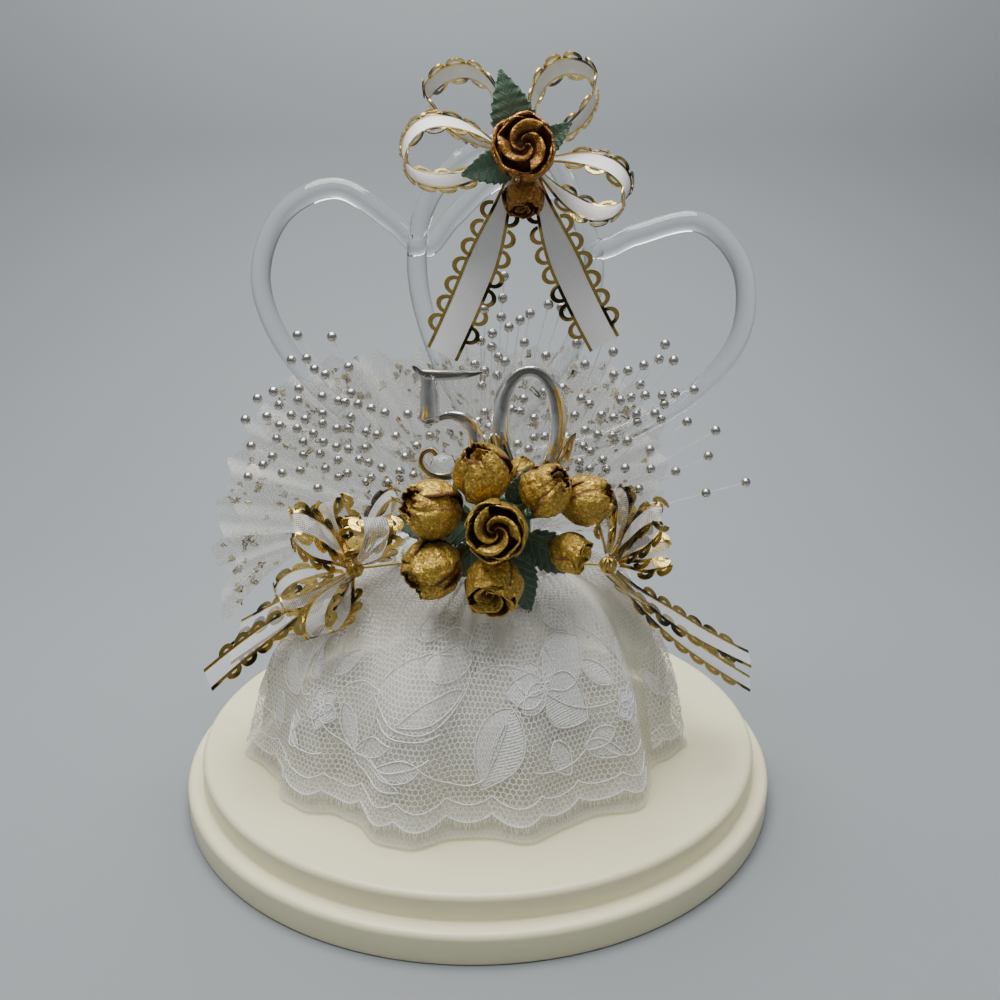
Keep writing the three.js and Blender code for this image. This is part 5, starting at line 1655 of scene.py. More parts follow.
def petal_sheet(foot, way, width, tall, turn, layer, opened):
    """One wrapped petal as a grid of points, with how much painted shade each gets: most deep in the flower, less at
    an open flower's rim, and brown at its side edges.
    """
    s = np.linspace(-1, 1, PETAL_ACROSS)[None, :]
    t = np.linspace(0, 1, PETAL_UP)[:, None]
    half_angle = blend(1.35, 0.95, layer) * blend(0.75, 1.0, np.sin(np.minimum(t / 0.55, 1) * math.pi / 2))
    angle = turn + half_angle * s + 0.35 * t
    widths = blend(np.array(SHUT_CUP_WIDTHS), np.array(OPEN_CUP_WIDTHS), min(opened * 1.2, 1))
    cup = np.interp(t, CUP_PLACES, widths)
    shrink = blend(0.5, 1.0, layer)
    wrap = blend(0.09, 0.05, opened) * s * (1 - 0.4 * t)
    rim = np.clip((t - 0.74) / 0.26, 0, 1)
    curl = rim**1.6 * opened * blend(0.06, 0.24, layer) * (1 - 0.35 * s**2)
    waver = 0.034 * np.sin(7 * angle + 5 * t + 3 * turn) * t
    waver = waver + 0.02 * (1 - 0.7 * opened) * np.sin(17 * angle + 9 * t + turn)
    flare = 1 + opened * 0.16 * t**3
    radius = width / 2 * (cup * shrink * flare + wrap + curl + waver)
    round_end = 1 - 0.16 * np.abs(s) ** 3 * t
    height = tall * blend(0.86, 1.0, 1 - abs(layer - 0.5)) * t * round_end
    height = height - rim**2 * opened * width * 0.10 * blend(0.3, 1.0, layer)
    ragged = 0.02 * np.sin(5 * angle + turn) * t + 0.03 * (1 - opened) * np.sin(13 * angle + 2 * turn) * rim
    height = height + width * ragged
    points = round_axis(foot, way, height, radius, angle)
    # Painted shade on the inner petals and near the foot, where the flower is deepest
    inner = (1 - layer) * 0.55 + 0.35 * (1 - np.clip(t / 0.12, 0, 1))
    # Painted light: an open flower's rim is lighter; a closed bud's rim is marked browner
    rim_light = np.clip((t - 0.9) / 0.1, 0, 1) * blend(-0.5, 0.35, opened)
    # Brown along the petal's side edges
    side_edge = np.clip((np.abs(s) - 0.8) / 0.15, 0, 1) * np.clip(t / 0.3, 0, 1) * 0.6
    return points, np.clip(inner + side_edge - rim_light, 0, 1) * np.ones_like(angle)


def swirl_sheets(foot, way, width, tall, turn, swirl):
    """The middle of a flower: petals that turn in behind one another to a deep hollow."""
    s = np.linspace(0, 1, SWIRL_ALONG)[None, :]
    t = np.linspace(0, 1, SWIRL_UP)[:, None]
    sheets = []
    for arm in range(swirl.petals):
        angle = turn + 2 * math.pi * (arm / swirl.petals + swirl.turns * s) + 0.25 * t
        lean = np.interp(t, (0, 0.55, 0.8, 1), (0.5, 0.8, 0.95, 1.0)) + swirl.curl * np.clip((t - 0.6) / 0.4, 0, 1)
        radius = width / 2 * (0.03 + swirl.reach * s**0.85) * lean
        rise = 0.42 + 0.26 * s - 0.1 * s**5
        climb = np.interp(t, (0, 0.55, 0.8, 1), (0, 0.78, 1.0, 1.0))
        height = tall * (0.27 + climb * rise) + width * 0.016 * np.sin(6 * angle + 2 * arm)
        points = round_axis(foot, way, height, radius, angle)
        # Painted shade that deepens down into the swirl's hollow
        sheets.append((points, np.clip(1.15 - t * (0.95 + 0.4 * s), 0, 1) * np.ones_like(angle)))
    return sheets


def flower_forms(stem_foot, cup_foot, width, tall, opened, turn_deg):
    """The sheets of one rosebud, inside out: its swirled middle and the petals wrapped round it."""
    way = unit(cup_foot - stem_foot)
    turn = math.radians(turn_deg)
    swirl, layers = OPEN_FLOWER if opened > OPEN_FROM else CLOSED_FLOWER
    sheets = swirl_sheets(cup_foot, way, width, tall, turn, swirl)
    for k, layer in enumerate(layers):
        start = turn + k * math.radians(PETAL_TURN_DEG)
        sheets.append(petal_sheet(cup_foot, way, width, tall, start, layer, opened))
    return [grid(points, inside=deep, taped=np.zeros_like(deep)) for points, deep in sheets]


def stem_form(stem_foot, cup_foot, width, tall):
    """A flower's wire and the closed cup that its petals are glued to."""
    way = unit(cup_foot - stem_foot)
    reach = np.linalg.norm(cup_foot - stem_foot)
    profile = [(0, BUD_STEM_D / 2), (reach - 0.16 * tall, BUD_STEM_D / 2), (reach - 0.02 * tall, 0.09 * width),
               (reach + 0.08 * tall, 0.2 * width), (reach + 0.3 * tall, 0.36 * width),
               (reach + 0.5 * tall, 0.3 * width), (reach + 0.62 * tall, 0.12 * width)]
    rings = rings_about(stem_foot, way, profile, FLOWER_CUP_SIDES)
    taped = np.zeros(rings.shape[:2])
    taped[:2] = 1
    # The cup is marked deep inside the flower, so it takes the painted shade of the flower's depth
    return lofted(rings, inside=np.full(rings.shape[:2], 0.9), taped=taped)


def add_flower(name, node, stem_foot, cup_foot, width, tall, opened, turn_deg, material):
    """One rosebud as one piece: petals with their thickness, round a closed cup on its wire."""
    petals = piece_of(name, together(flower_forms(stem_foot, cup_foot, width, tall, opened, turn_deg)))
    thickened(petals, PETAL_T)
    cup = outward_faces(piece_of(f"{name}_cup", stem_form(stem_foot, cup_foot, width, tall)))
    joined = join_meshes(petals, cup)
    settle(joined, material, [node])


def join_meshes(first, second):
    """Two objects as one, under the first one's name."""
    work = bmesh.new()
    work.from_mesh(first.data)
    work.from_mesh(second.data)
    work.to_mesh(first.data)
    work.free()
    bpy.data.objects.remove(second)
    return first


def make_rosebuds(colours):
    """The nine buds of the bouquet."""
    gold = glittered_gold("bouquet_petals", colours.gold, colours)
    for i, bud in enumerate(BUDS):
        width = BUD_D * bud.size * blend(BUD_FULLNESS, 1, bud.open)
        middle = HUB + np.array(bud.at) * BUD_D
        out = unit(middle - HUB)
        stem_foot = HUB + out * (HUB_D / 2 + SEAT_GAP)
        cup_foot = middle - out * width / 2
        add_flower(f"rosebud_{i + 1}_petals", f"rosebud_{i + 1}", stem_foot, cup_foot, width, width, bud.open,
                   bud.turn_deg, gold)


# Leaves

LEAF_L = 13
LEAF_W = 8
LEAF_T = 0.4
LEAF_CURL_H = 1.6
LEAF_TEETH = 9
LEAF_VEIN_PITCH = 2.0
LEAF_ALONG = 91
LEAF_ACROSS = 17
BOUQUET_LEAF_FULLNESS = 1.2

# Direction from the hub, length in leaf lengths and the way the leaf faces
Leaf = namedtuple("Leaf", "out long facing")
BOUQUET_LEAVES = [
    Leaf((0.83, -0.03, -0.5), 1, (0, -1, 0.2)), Leaf((0.35, -0.3, 0.84), 0.6, (0, -1, -0.2)),
    Leaf((-0.98, 0.12, -0.02), 1.25, (0, -1, 0.2)), Leaf((-0.7, -0.1, -0.68), 0.8, (0, -1, 0.3)),
    Leaf((0.3, -0.3, -0.9), 0.95, (0, -1, 0.3)), Leaf((-0.19, 0.25, 0.94), 0.78, (0, -1, 0)),
]


def leaf_form(foot, tip, facing, share):
    """A toothed leaf, curled along its length and pressed in along its veins."""
    reach = np.linalg.norm(tip - foot)
    along_way = unit(tip - foot)
    across_way = unit(np.cross(np.array(facing, float), along_way))
    face_way = np.cross(along_way, across_way)
    place = np.linspace(0, 1, LEAF_ALONG)
    smooth_half = np.sin(math.pi * (0.12 + 0.86 * place) ** 0.85) * LEAF_W * share / 2
    tooth = (place * LEAF_TEETH) % 1
    half = smooth_half * (0.86 + 0.16 * tooth) * smooth(place / 0.06 + 0.25)
    half[-1] = 0.05
    across = np.linspace(-1, 1, LEAF_ACROSS)
    sideways = half[:, None] * across[None, :]
    forward = np.broadcast_to((place * reach)[:, None], sideways.shape)
    lift = LEAF_CURL_H * (place * (1 - place) * 2 - place**2)
    crease = 0.35 * np.abs(across) ** 0.8
    ripple = 0.16 * np.sin(place * LEAF_TEETH * 2 * math.pi)[:, None] * np.abs(across)[None, :] ** 1.5
    height = lift[:, None] + crease[None, :] * smooth_half[:, None] * 0.6 + ripple
    points = (foot + forward[..., None] * along_way + sideways[..., None] * across_way
              + height[..., None] * face_way)
    return grid(points, uv=np.stack([forward, sideways], axis=-1))


def add_leaves(prefix, centre, start, leaves, fullness, material):
    """Leaves round a middle, each as a piece of its own."""
    for i, leaf in enumerate(leaves):
        way = unit(leaf.out)
        foot = centre + way * start
        form = leaf_form(foot, foot + way * LEAF_L * leaf.long * fullness, leaf.facing, leaf.long * fullness)
        blade = piece_of(f"{prefix}_{i + 1}_blade", form, math.radians(60))
        settle(thickened(blade, LEAF_T), material, [f"{prefix}_{i + 1}"])


def make_bouquet_leaves(colours):
    """The leaves between the buds."""
    start = HUB_D / 2 + SEAT_GAP + LEAF_T / 2
    add_leaves("bouquet_leaf", HUB, start, BOUQUET_LEAVES, BOUQUET_LEAF_FULLNESS,
               leaf_cloth("bouquet_leaf_cloth", toned(colours.leaf, 0.65), colours))


# Ribbon

RIBBON_ROOT_W = 1.8
RIBBON_ROOT_GAP = 0.9
RIBBON_WIDENING = 1.7
RIBBON_T = 0.45
LOOP_BELLY_PEAK = 0.77
LOOP_STEPS = 90
TAIL_STEPS = 60
BAND_ACROSS = 9
FOIL_EDGE_T = 0.24
PICOT_OUT = 2.6
PICOT_LONG = 4.3
PICOT_END_SHARE = 0.75
PICOT_STEPS = 9
PICOT_LEAST_W = 4.0
RIBBON_RIB_PITCH = 0.55
RIBBON_WEFT_PITCH = 0.5
TOP_LOOP_L = 27
TOP_TAIL_L = 47
SIDE_LOOP_L = 19
SIDE_TAIL_L = 44
KNOT_D = 4.4
TOP_KNOT_X = 10.7
TOP_KNOT_GAP = 2.2
TIE_WIRE_D = 1.0

Loop = namedtuple("Loop", "out broad long bellies")
Tail = namedtuple("Tail", "out bend end broad")
Strip = namedtuple("Strip", "at along flat face width way")

# Widths of a ribbon's straight foil edge and of the strand that its picots are cut to
Trim = namedtuple("Trim", "edge strand")
TOP_TRIM = Trim(0.75, 1.15)
SIDE_TRIM = Trim(1.1, 1.7)
TOP_LOOPS = [
    Loop((-0.79, 0.24, 0.56), (0.42, -0.85, -0.1), 0.88, (0.15, 0.38)),
    Loop((-1, -0.2, 0.02), (0.3, -0.85, -0.42), 0.88, (0.22, 0.33)),
    Loop((0.6, 0.2, 0.77), (-0.42, -0.85, -0.1), 0.78, (0.34, 0.24)),
    Loop((0.93, -0.16, -0.33), (-0.3, -0.85, -0.42), 0.8, (0.26, 0.28)),
]
TOP_TAILS = [
    Tail((-0.74, 0.52, -0.42), (-0.15, 0.03, -0.42), (-0.39, -0.07, -0.9), (0.93, 0, -0.38)),
    Tail((0.74, 0.52, -0.42), (0.15, 0.03, -0.42), (0.4, -0.07, -0.85), (0.9, -0.2, 0.4)),
]
LEFT_LOOPS = [
    Loop((-0.48, -0.56, 0.67), (-0.19, 0.82, 0.55), 1.1, (0.13, 0.1)),
    Loop((-0.33, 0.18, 0.93), (0.77, -0.51, 0.37), 0.78, (0.2, 0.1)),
    Loop((0.32, -0.67, 0.67), (0.93, 0.34, -0.11), 1.12, (0.15, 0.22)),
    Loop((0.49, 0.09, 0.86), (0.28, -0.96, -0.06), 0.96, (0.15, 0.13)),
    Loop((-0.24, -0.92, -0.3), (-0.85, 0.35, -0.4), 1.08, (0.15, 0.14)),
    Loop((-0.9, -0.35, -0.27), (-0.37, 0.93, 0.06), 0.87, (0.24, 0.17)),
]
LEFT_TAILS = [
    Tail((-0.2, -0.37, -0.91), (-0.43, -0.18, -0.24), (-0.77, -0.28, -0.53), (0.85, -0.46, 0.24)),
    Tail((-0.73, 0.27, -0.63), (-0.33, 0.05, -0.19), (-0.66, 0.03, -0.37), (0.71, -0.68, 0.18)),
    Tail((-0.38, 0.55, -0.74), (-0.41, 0.02, -0.29), (-0.72, -0.01, -0.51), (-0.13, -0.85, -0.51)),
]
RIGHT_LOOPS = [
    Loop((0.43, 0.77, 0.48), (0.61, 0.14, -0.78), 1.05, (0.1, 0.1)),
    Loop((0.55, -0.36, 0.75), (-0.12, -0.93, -0.35), 0.91, (0.14, 0.1)),
    Loop((0.94, -0.22, 0.28), (-0.11, -0.93, -0.35), 0.65, (0.15, 0.11)),
    Loop((0.05, 0.16, 0.99), (0.59, 0.79, -0.16), 0.84, (0.19, 0.1)),
]
RIGHT_TAILS = [
    Tail((0.73, -0.04, -0.68), (0.31, -0.01, -0.31), (0.8, -0.05, -0.54), (0.66, 0.73, -0.18)),
    Tail((0.31, 0.4, -0.86), (0.32, 0, -0.41), (0.8, -0.09, -0.67), (0.4, 0.91, -0.07)),
    Tail((-0.1, -0.69, -0.71), (0.12, -0.14, -0.13), (0.2, -0.2, -0.15), (-0.63, -0.63, 0.45)),
]
SIDE_KNOTS = {
    "left": np.array([-29.3, -16, CORE_TOP_Z - 1.4]),
    "right": np.array([31.6, -16, CORE_TOP_Z - 0.4]),
}


def rod_place(heart, side_way):
    """The place on a heart's upper lobe where the top bow is tied."""
    points = [heart_point(heart, side_way * across, up) for across, up in HEART_SHARES[2:]]
    lobe = through(points, HEART_STEPS)
    lobe = lobe[lobe[:, 2] > heart.cleft[2]]
    return lobe[np.argmin(np.abs(lobe[:, 0] - TOP_KNOT_X))]


TOP_RODS = [rod_place(HEARTS["heart_left"], 1), rod_place(HEARTS["heart_right"], -1)]
TOP_KNOT = np.array([
    TOP_KNOT_X, -(HEART_Y + ROD_D / 2 + TOP_KNOT_GAP + KNOT_D / 2), (TOP_RODS[0][2] + TOP_RODS[1][2]) / 2])


def ribbon_width(share, full):
    """The ribbon's width, pinched at its root."""
    return blend(RIBBON_ROOT_W, full, smooth(np.minimum(share * RIBBON_WIDENING, 1)))


def framed(at, broad, width):
    """A strip's directions at each place: along it, across it and out of its face."""
    along = directions(at)
    broad = np.broadcast_to(np.asarray(broad, float), at.shape)
    flat = unit(broad - (broad * along).sum(-1, keepdims=True) * along)
    return Strip(at, along, flat, np.cross(along, flat), width, travelled(at))


def loop_strip(knot, loop, unit_length, full):
    """A loop of ribbon out from a knot and back to it."""
    along = unit(loop.out)
    broad = np.array(loop.broad, float)
    broad = unit(broad - np.dot(broad, along) * along)
    round_way = np.cross(broad, along)
    reach_all = unit_length * loop.long
    turn = np.linspace(0, 2 * math.pi, LOOP_STEPS + 1)
    reach = (1 - np.cos(turn)) / 2
    belly_share = np.where(turn < math.pi, loop.bellies[0], loop.bellies[1]) / LOOP_BELLY_PEAK
    belly = np.sin(turn) * np.sin(turn / 2) * reach_all * belly_share
    side = belly + RIBBON_ROOT_GAP / 2 * np.cos(turn / 2) * (1 - reach)
    start = KNOT_D / 2 + SEAT_GAP + RIBBON_T / 2
    at = knot + along * (start + reach_all * reach)[:, None] + round_way * side[:, None]
    spread = spaced(np.column_stack([at, ribbon_width(reach, full)]), LOOP_STEPS + 1)
    return framed(spread[:, :3], broad, spread[:, 3])


def tail_strip(knot, tail, unit_length, full):
    """A tail of ribbon from a knot to its cut end."""
    start = knot + unit(tail.out) * (KNOT_D / 2 + SEAT_GAP + RIBBON_T / 2)
    at = bowed(start, knot + np.array(tail.bend) * unit_length, knot + np.array(tail.end) * unit_length,
               TAIL_STEPS + 1)
    return framed(at, tail.broad, ribbon_width(np.linspace(0, 1, TAIL_STEPS + 1), full))


def band_form(strip):
    """The sheer middle of a ribbon, a little crowned."""
    across = np.linspace(-1, 1, BAND_ACROSS)
    crown = 0.22 * (1 - across**2)
    points = (strip.at[:, None] + strip.flat[:, None] * (strip.width[:, None] / 2 * across)[..., None]
              + strip.face[:, None] * crown[None, :, None])
    uv = np.stack(np.broadcast_arrays(strip.way[:, None], strip.width[:, None] / 2 * across), axis=-1)
    return grid(points, uv=uv)


def foil_form(strip, side, wide):
    """The straight gold edge on one side of a ribbon."""
    middle = strip.at + strip.flat * (side * (strip.width / 2 - wide / 2 * 0.6))[:, None]
    corners = [(-1, -1), (1, -1), (1, 1), (-1, 1)]
    rings = np.stack([
        middle + strip.flat * (a * wide / 2) + strip.face * (b * FOIL_EDGE_T / 2) for a, b in corners
    ], axis=1)
    return lofted(rings)


def picot_form(strand):
    """One D-shaped loop of foil: X along the ribbon's edge and Y out from it."""
    lift = np.array([0, 0, FOIL_EDGE_T / 2])
    rings = []
    for turn in np.linspace(0, math.pi, PICOT_STEPS):
        out = np.array([math.cos(turn), math.sin(turn), 0])
        outer = out * (PICOT_LONG / 2, PICOT_OUT, 0)
        inner = out * (PICOT_LONG / 2 - strand * PICOT_END_SHARE, PICOT_OUT - strand, 0)
        rings.append([outer - lift, inner - lift, inner + lift, outer + lift])
    return lofted(rings)


def picot_places(strip, side, pitch):
    """Where one side's picots stand, and how each is turned."""
    edge = strip.at + strip.flat * (side * strip.width / 2)[:, None]
    way = travelled(edge)
    count = int((way[-1] - pitch) // pitch)
    at = (way[-1] - (count - 1) * pitch) / 2 + np.arange(count) * pitch
    kept = np.interp(at, way, strip.width) > PICOT_LEAST_W
    edge, flat, along = (places_at(at, way, line)[kept] for line in (edge, strip.flat, strip.along))
    return edge, side * unit(flat), unit(along)


def add_bow(side, knot, loops, tails, lengths, sizes, bands, trim, foil):
    """One bow: the sheer bands of its loops and of its tails, and its gold trim."""
    full = sizes.ribbon_width / MM
    parts = {
        "loop": [loop_strip(knot, loop, lengths[0], full) for loop in loops],
        "tail": [tail_strip(knot, tail, lengths[1], full) for tail in tails],
    }
    for (kind, strips), band in zip(parts.items(), bands):
        cloth = piece_of(f"{side}_bow_{kind}_band", together([band_form(strip) for strip in strips]))
        settle(cloth, band, [f"{side}_bow_{kind}_{i + 1}" for i in range(len(strips))])
    strips = parts["loop"] + parts["tail"]
    edges = outward_faces(piece_of(
        f"{side}_bow_foil", together([foil_form(strip, way, trim.edge) for strip in strips for way in (-1, 1)])))
    settle(edges, foil)
    pitch = sizes.picot_pitch / MM
    spots = [picot_places(strip, way, pitch) for strip in strips for way in (-1, 1)]
    at, outward, along = (np.vstack([spot[k] for spot in spots]) for k in range(3))
    picots = placed(f"{side}_bow_picots", picot_form(trim.strand), at, foil, outward, along)
    settle(outward_faces(picots), foil)


def make_bows(sizes, colours):
    """The top bow and the two side bows."""
    foil = gold_foil(colours)
    top_band = sheer_band("top_ribbon", colours.ribbon, 0.93, 1.0, 0.04)
    side_bands = (sheer_band("side_ribbon", toned(colours.ribbon, 0.8), 0.25, 0.55, 0.16),
                  sheer_band("thin_ribbon", colours.ribbon, 0.1, 0.3, 0.1))
    add_bow("top", TOP_KNOT, TOP_LOOPS, TOP_TAILS, (TOP_LOOP_L, TOP_TAIL_L), sizes, (top_band, top_band),
            TOP_TRIM, foil)
    for side, loops, tails in (("left", LEFT_LOOPS, LEFT_TAILS), ("right", RIGHT_LOOPS, RIGHT_TAILS)):
        add_bow(side, SIDE_KNOTS[side], loops, tails, (SIDE_LOOP_L, SIDE_TAIL_L), sizes, side_bands, SIDE_TRIM, foil)


# Ties

KNOT_STEPS = 260
KNOT_ROUNDS = 9
KNOT_TILTS = 2.5
TIE_WIRE_SHARE = 0.62
TIE_RING_SHIFTS = (-0.7, 0, 0.7)
TIE_RING_STEPS = 120
WIRE_SIDES = 8


def wound_knot(centre, width, wire):
    """A wire wound round and over itself into a small ball."""
    share = np.linspace(0, 1, KNOT_STEPS)
    turn = share * 2 * math.pi * KNOT_ROUNDS
    tilt = share * 2 * math.pi * KNOT_TILTS
    radius = width / 2 - wire / 2
    x, z = radius * np.cos(turn), radius * np.sin(turn)
    return centre + np.column_stack([x * np.cos(tilt), x * np.sin(tilt), z])


def make_ties(colours):
    """The wires that hold the three bows, each with its wound knot."""
    brass = brass_wire(colours)
    wire = TIE_WIRE_D * TIE_WIRE_SHARE
    back_rod, front_rod = TOP_RODS
    reach = ROD_D / 2 + SEAT_GAP + TIE_WIRE_D / 2
    between = unit(front_rod - back_rod)
    side = np.cross(between, np.array([1.0, 0, 0]))
    half = np.linspace(0, math.pi, 24)

    def half_ring(centre, way):
        return centre + way * reach * (np.cos(half)[:, None] * side + np.sin(half)[:, None] * between)

    ring = spaced(np.vstack([half_ring(front_rod, 1), half_ring(back_rod, -1), half_ring(front_rod, 1)[:1]]),
                  TIE_RING_STEPS)
    near = ring[np.argmin(np.linalg.norm(ring - TOP_KNOT, axis=1))]
    rounds = [ring[:-1] + (shift, 0, 0) for shift in TIE_RING_SHIFTS]
    over = wires("top_tie_ring", rounds, wire / 2, WIRE_SIDES, brass, joined=True)
    settle(over, brass)
    link = np.linspace(near, TOP_KNOT, 6)
    knot = wires("top_tie_knot", [wound_knot(TOP_KNOT, KNOT_D, wire), link], wire / 2, WIRE_SIDES, brass)
    settle(knot, brass, ["top_bow_tie"])
    for name, place in SIDE_KNOTS.items():
        inward = unit([CORE_X - place[0], -place[1], 0])
        height = CORE_TOP_Z - CORE_EDGE_R + TIE_WIRE_D / 2
        seat = np.array([CORE_X, 0, height]) - inward * (CORE_D / 2 + SEAT_GAP)
        lines = [wound_knot(place, KNOT_D, wire), np.linspace(place, seat, 8)]
        tie = wires(f"{name}_tie_wire", lines, wire / 2, WIRE_SIDES, brass)
        settle(tie, brass, [f"{name}_bow_tie"])


# Top flowers

TOP_STEM_L = 2.4
TOP_FLOWERS = {
    "top_rose": ((0, -0.97, 0.24), 13.6, 8, 1.0, 20),
    "top_bud": ((0, -0.42, -0.91), 9.6, 7.8, 0.7, 250),
}
TOP_LEAVES = [
    Leaf((-0.26, -0.28, 0.92), 1.25, (0, -1, 0)), Leaf((-0.86, -0.61, -0.22), 1, (0, -1, 0)),
    Leaf((0.76, -0.4, 0.55), 0.8, (0, -1, 0)),
]


def make_top_flowers(colours):
    """The open rose, the bud below it and their leaves, on the top knot."""
    gold = glittered_gold("top_petals", colours.rose, colours)
    for name, (way, width, tall, opened, turn_deg) in TOP_FLOWERS.items():
        way = unit(way)
        foot = TOP_KNOT + way * (KNOT_D / 2 + SEAT_GAP)
        add_flower(f"{name}_petals", name, foot, foot + way * TOP_STEM_L, width, tall, opened, turn_deg, gold)
    add_leaves("top_leaf", TOP_KNOT, KNOT_D / 2 + SEAT_GAP + LEAF_T / 2, TOP_LEAVES, 1,
               leaf_cloth("top_leaf_cloth", colours.leaf, colours))


# Bead sprays

SPRAY_REACH = 62
SPRAY_SAG_H = 1.5
SPRAY_Y = -8
SPRAY_PITCH_X = 10
SPRAY_HUB_D = 3
SPRAY_HUB_RISE = 3
SPRAY_HUB_DEPTH = 14
STRAND_LEANS = [-0.01, -0.035, 0.005, -0.02]
STRAND_STEPS = 14
STRAND_END_SHARE = 0.02
SPRAY_HUB_SIDES = 20

# Each strand's angle in the sprays' plane, and its beads as shares of the reach
STRANDS = {
    "left": [
        (122.5, (0.32, 0.55, 0.69, 0.82, 1)), (119, (0.35, 0.52, 0.66, 0.71)), (112.5, (0.31, 0.39, 0.48, 0.58)),
        (96.5, (0.45, 0.5)), (124, (0.63, 0.71, 0.86, 0.91)), (130, (0.34, 0.45, 0.63, 0.71, 0.84)),
        (133, (0.48, 0.54, 0.68, 0.81)), (137, (0.63, 0.68, 0.79, 0.85)), (141.5, (0.48, 0.61, 0.69, 0.8, 0.86)),
        (150, (0.64, 0.76, 0.85)), (159, (0.82,)),
    ],
    "centre": [
        (62.5, (0.5, 0.82)), (67, (0.43, 0.48, 0.88)), (73, (0.43, 0.79, 0.98)), (76, (0.56, 0.61, 0.98)),
        (79.5, (0.56, 0.82, 0.93)), (84, (0.74, 0.87)), (86, (0.68, 0.75, 0.9, 0.97, 1.05)),
        (88, (0.48, 0.79, 0.84)), (91, (0.64, 0.81)), (95, (0.85,)),
    ],
    "right": [
        (18, (0.74, 0.9)), (34, (0.58, 0.87)), (45, (0.44, 0.73, 0.9)), (48, (0.58, 0.73, 0.78, 0.84)),
        (52, (0.4, 0.55, 0.68)), (54, (0.56, 0.76, 0.93)), (56.5, (0.37, 0.72, 0.78, 0.9)),
        (59, (0.4, 0.53, 0.69, 0.85)), (64.5, (0.35, 0.52, 0.76)), (71, (0.56, 0.63, 0.93)),
    ],
}


# The strands between those, behind and in front of them
MORE_STRANDS = {
    "left": [
        (116, (0.62, 0.8, 0.93)), (127, (0.4, 0.5, 0.6, 0.76, 0.94)), (135, (0.4, 0.58, 0.74, 0.9)),
        (139.5, (0.4, 0.54, 0.74, 0.93)), (145, (0.5, 0.56, 0.66, 0.78, 0.92)), (154, (0.55, 0.7, 0.78)),
        (104, (0.34, 0.42, 0.55)),
    ],
    "centre": [
        (65, (0.6, 0.7, 0.94)), (70, (0.55, 0.66, 0.72)), (81.5, (0.5, 0.66, 0.9)), (90, (0.54, 0.7, 0.93)),
        (93, (0.5, 0.72)),
    ],
    "right": [
        (28, (0.5, 0.66, 0.8)), (40, (0.5, 0.62, 0.8)), (50, (0.46, 0.66, 0.8)), (57.8, (0.46, 0.62, 0.96)),
        (61.5, (0.46, 0.6, 0.8)), (67.5, (0.45, 0.62, 0.84)),
    ],
}


def bead_form(width):
    """A round bead of few faces."""
    profile = [(width / 2 * math.sin(angle), -width / 2 * math.cos(angle))
               for angle in np.linspace(0, math.pi, 9)]
    profile[0], profile[-1] = (0, -width / 2), (0, width / 2)
    return turned(profile, 12)


def on_strand(root, angle_deg, lean, shares):
    """Places on a strand that sags a little, at shares of the sprays' reach."""
    angle = math.radians(angle_deg)
    way = np.array([math.cos(angle), lean, math.sin(angle)])
    shares = np.asarray(shares, float)
    sag = SPRAY_SAG_H * shares**2 * abs(math.cos(angle))
    return root + shares[:, None] * SPRAY_REACH * way - sag[:, None] * np.array([0, 0, 1.0])


def hub_form(place):
    """The plug at a spray's foot, pushed into the core."""
    radius = SPRAY_HUB_D / 2
    bottom, top = CORE_TOP_Z - SPRAY_HUB_DEPTH, CORE_TOP_Z + SPRAY_HUB_RISE
    profile = [(0, bottom), (radius - 0.4, bottom), (radius, bottom + 0.6), (radius, top - 0.8),
               (radius - 0.8, top), (0, top)]
    return turned(profile, SPRAY_HUB_SIDES, place)


def make_sprays(sizes, colours):
    """Silver beads on clear filaments, in three sprays."""
    silver = silver_plate("bead_silver", toned(colours.silver, 0.72), 0.12, 0.03)
    nylon = clear_filament(colours)
    bead = bead_form(sizes.bead_width / MM)
    for i, (side, strands) in enumerate(STRANDS.items()):
        place = np.array([CORE_X + (i - 1) * SPRAY_PITCH_X, SPRAY_Y, CORE_TOP_Z])
        root = place + (0, 0, SPRAY_HUB_RISE * 2 / 3)
        lines, beads = [], []
        for k, (angle_deg, shares) in enumerate(strands + MORE_STRANDS[side]):
            lean = STRAND_LEANS[k % len(STRAND_LEANS)]
            whole = np.linspace(0, shares[-1] + STRAND_END_SHARE, STRAND_STEPS)
            lines.append(on_strand(root, angle_deg, lean, whole))
            beads.append(on_strand(root, angle_deg, lean, shares))
        filaments = wires(f"{side}_spray_filaments", lines, sizes.filament_width / MM / 2, 4, nylon)
        settle(filaments, nylon)
        settle(piece_of(f"{side}_spray_hub", hub_form(place[:2])), silver)
        pearls = placed(f"{side}_spray_beads", bead, np.vstack(beads), silver)
        settle(pearls, silver, [f"pearl_spray_{side}"])


# Operators, one for each piece or group of like pieces

class TopperOperator:
    """What the topper's operators share."""

    bl_options = {"REGISTER", "UNDO"}

    def execute(self, context):
        scene = context.scene
        self.make(scene.topper_view, scene.topper_sizes, scene.topper_colours)
        return {"FINISHED"}


class TOPPER_OT_stage(TopperOperator, bpy.types.Operator):
    """Set up the floor, the lights and the camera"""
    bl_idname = "topper.stage"
    bl_label = "Stage"

    def make(self, view, sizes, colours):
        make_stage(view)


class TOPPER_OT_base(TopperOperator, bpy.types.Operator):
    """Mould the stepped round base"""
    bl_idname = "topper.base"
    bl_label = "Base"

    def make(self, view, sizes, colours):
        make_base(colours)


class TOPPER_OT_core(TopperOperator, bpy.types.Operator):
    """Make the foam core under the skirt"""
    bl_idname = "topper.core"
    bl_label = "Foam core"

    def make(self, view, sizes, colours):
        make_core(colours)


class TOPPER_OT_hearts(TopperOperator, bpy.types.Operator):
    """Bend the two clear hearts"""
    bl_idname = "topper.hearts"
    bl_label = "Hearts"

    def make(self, view, sizes, colours):
        make_hearts(sizes, colours)


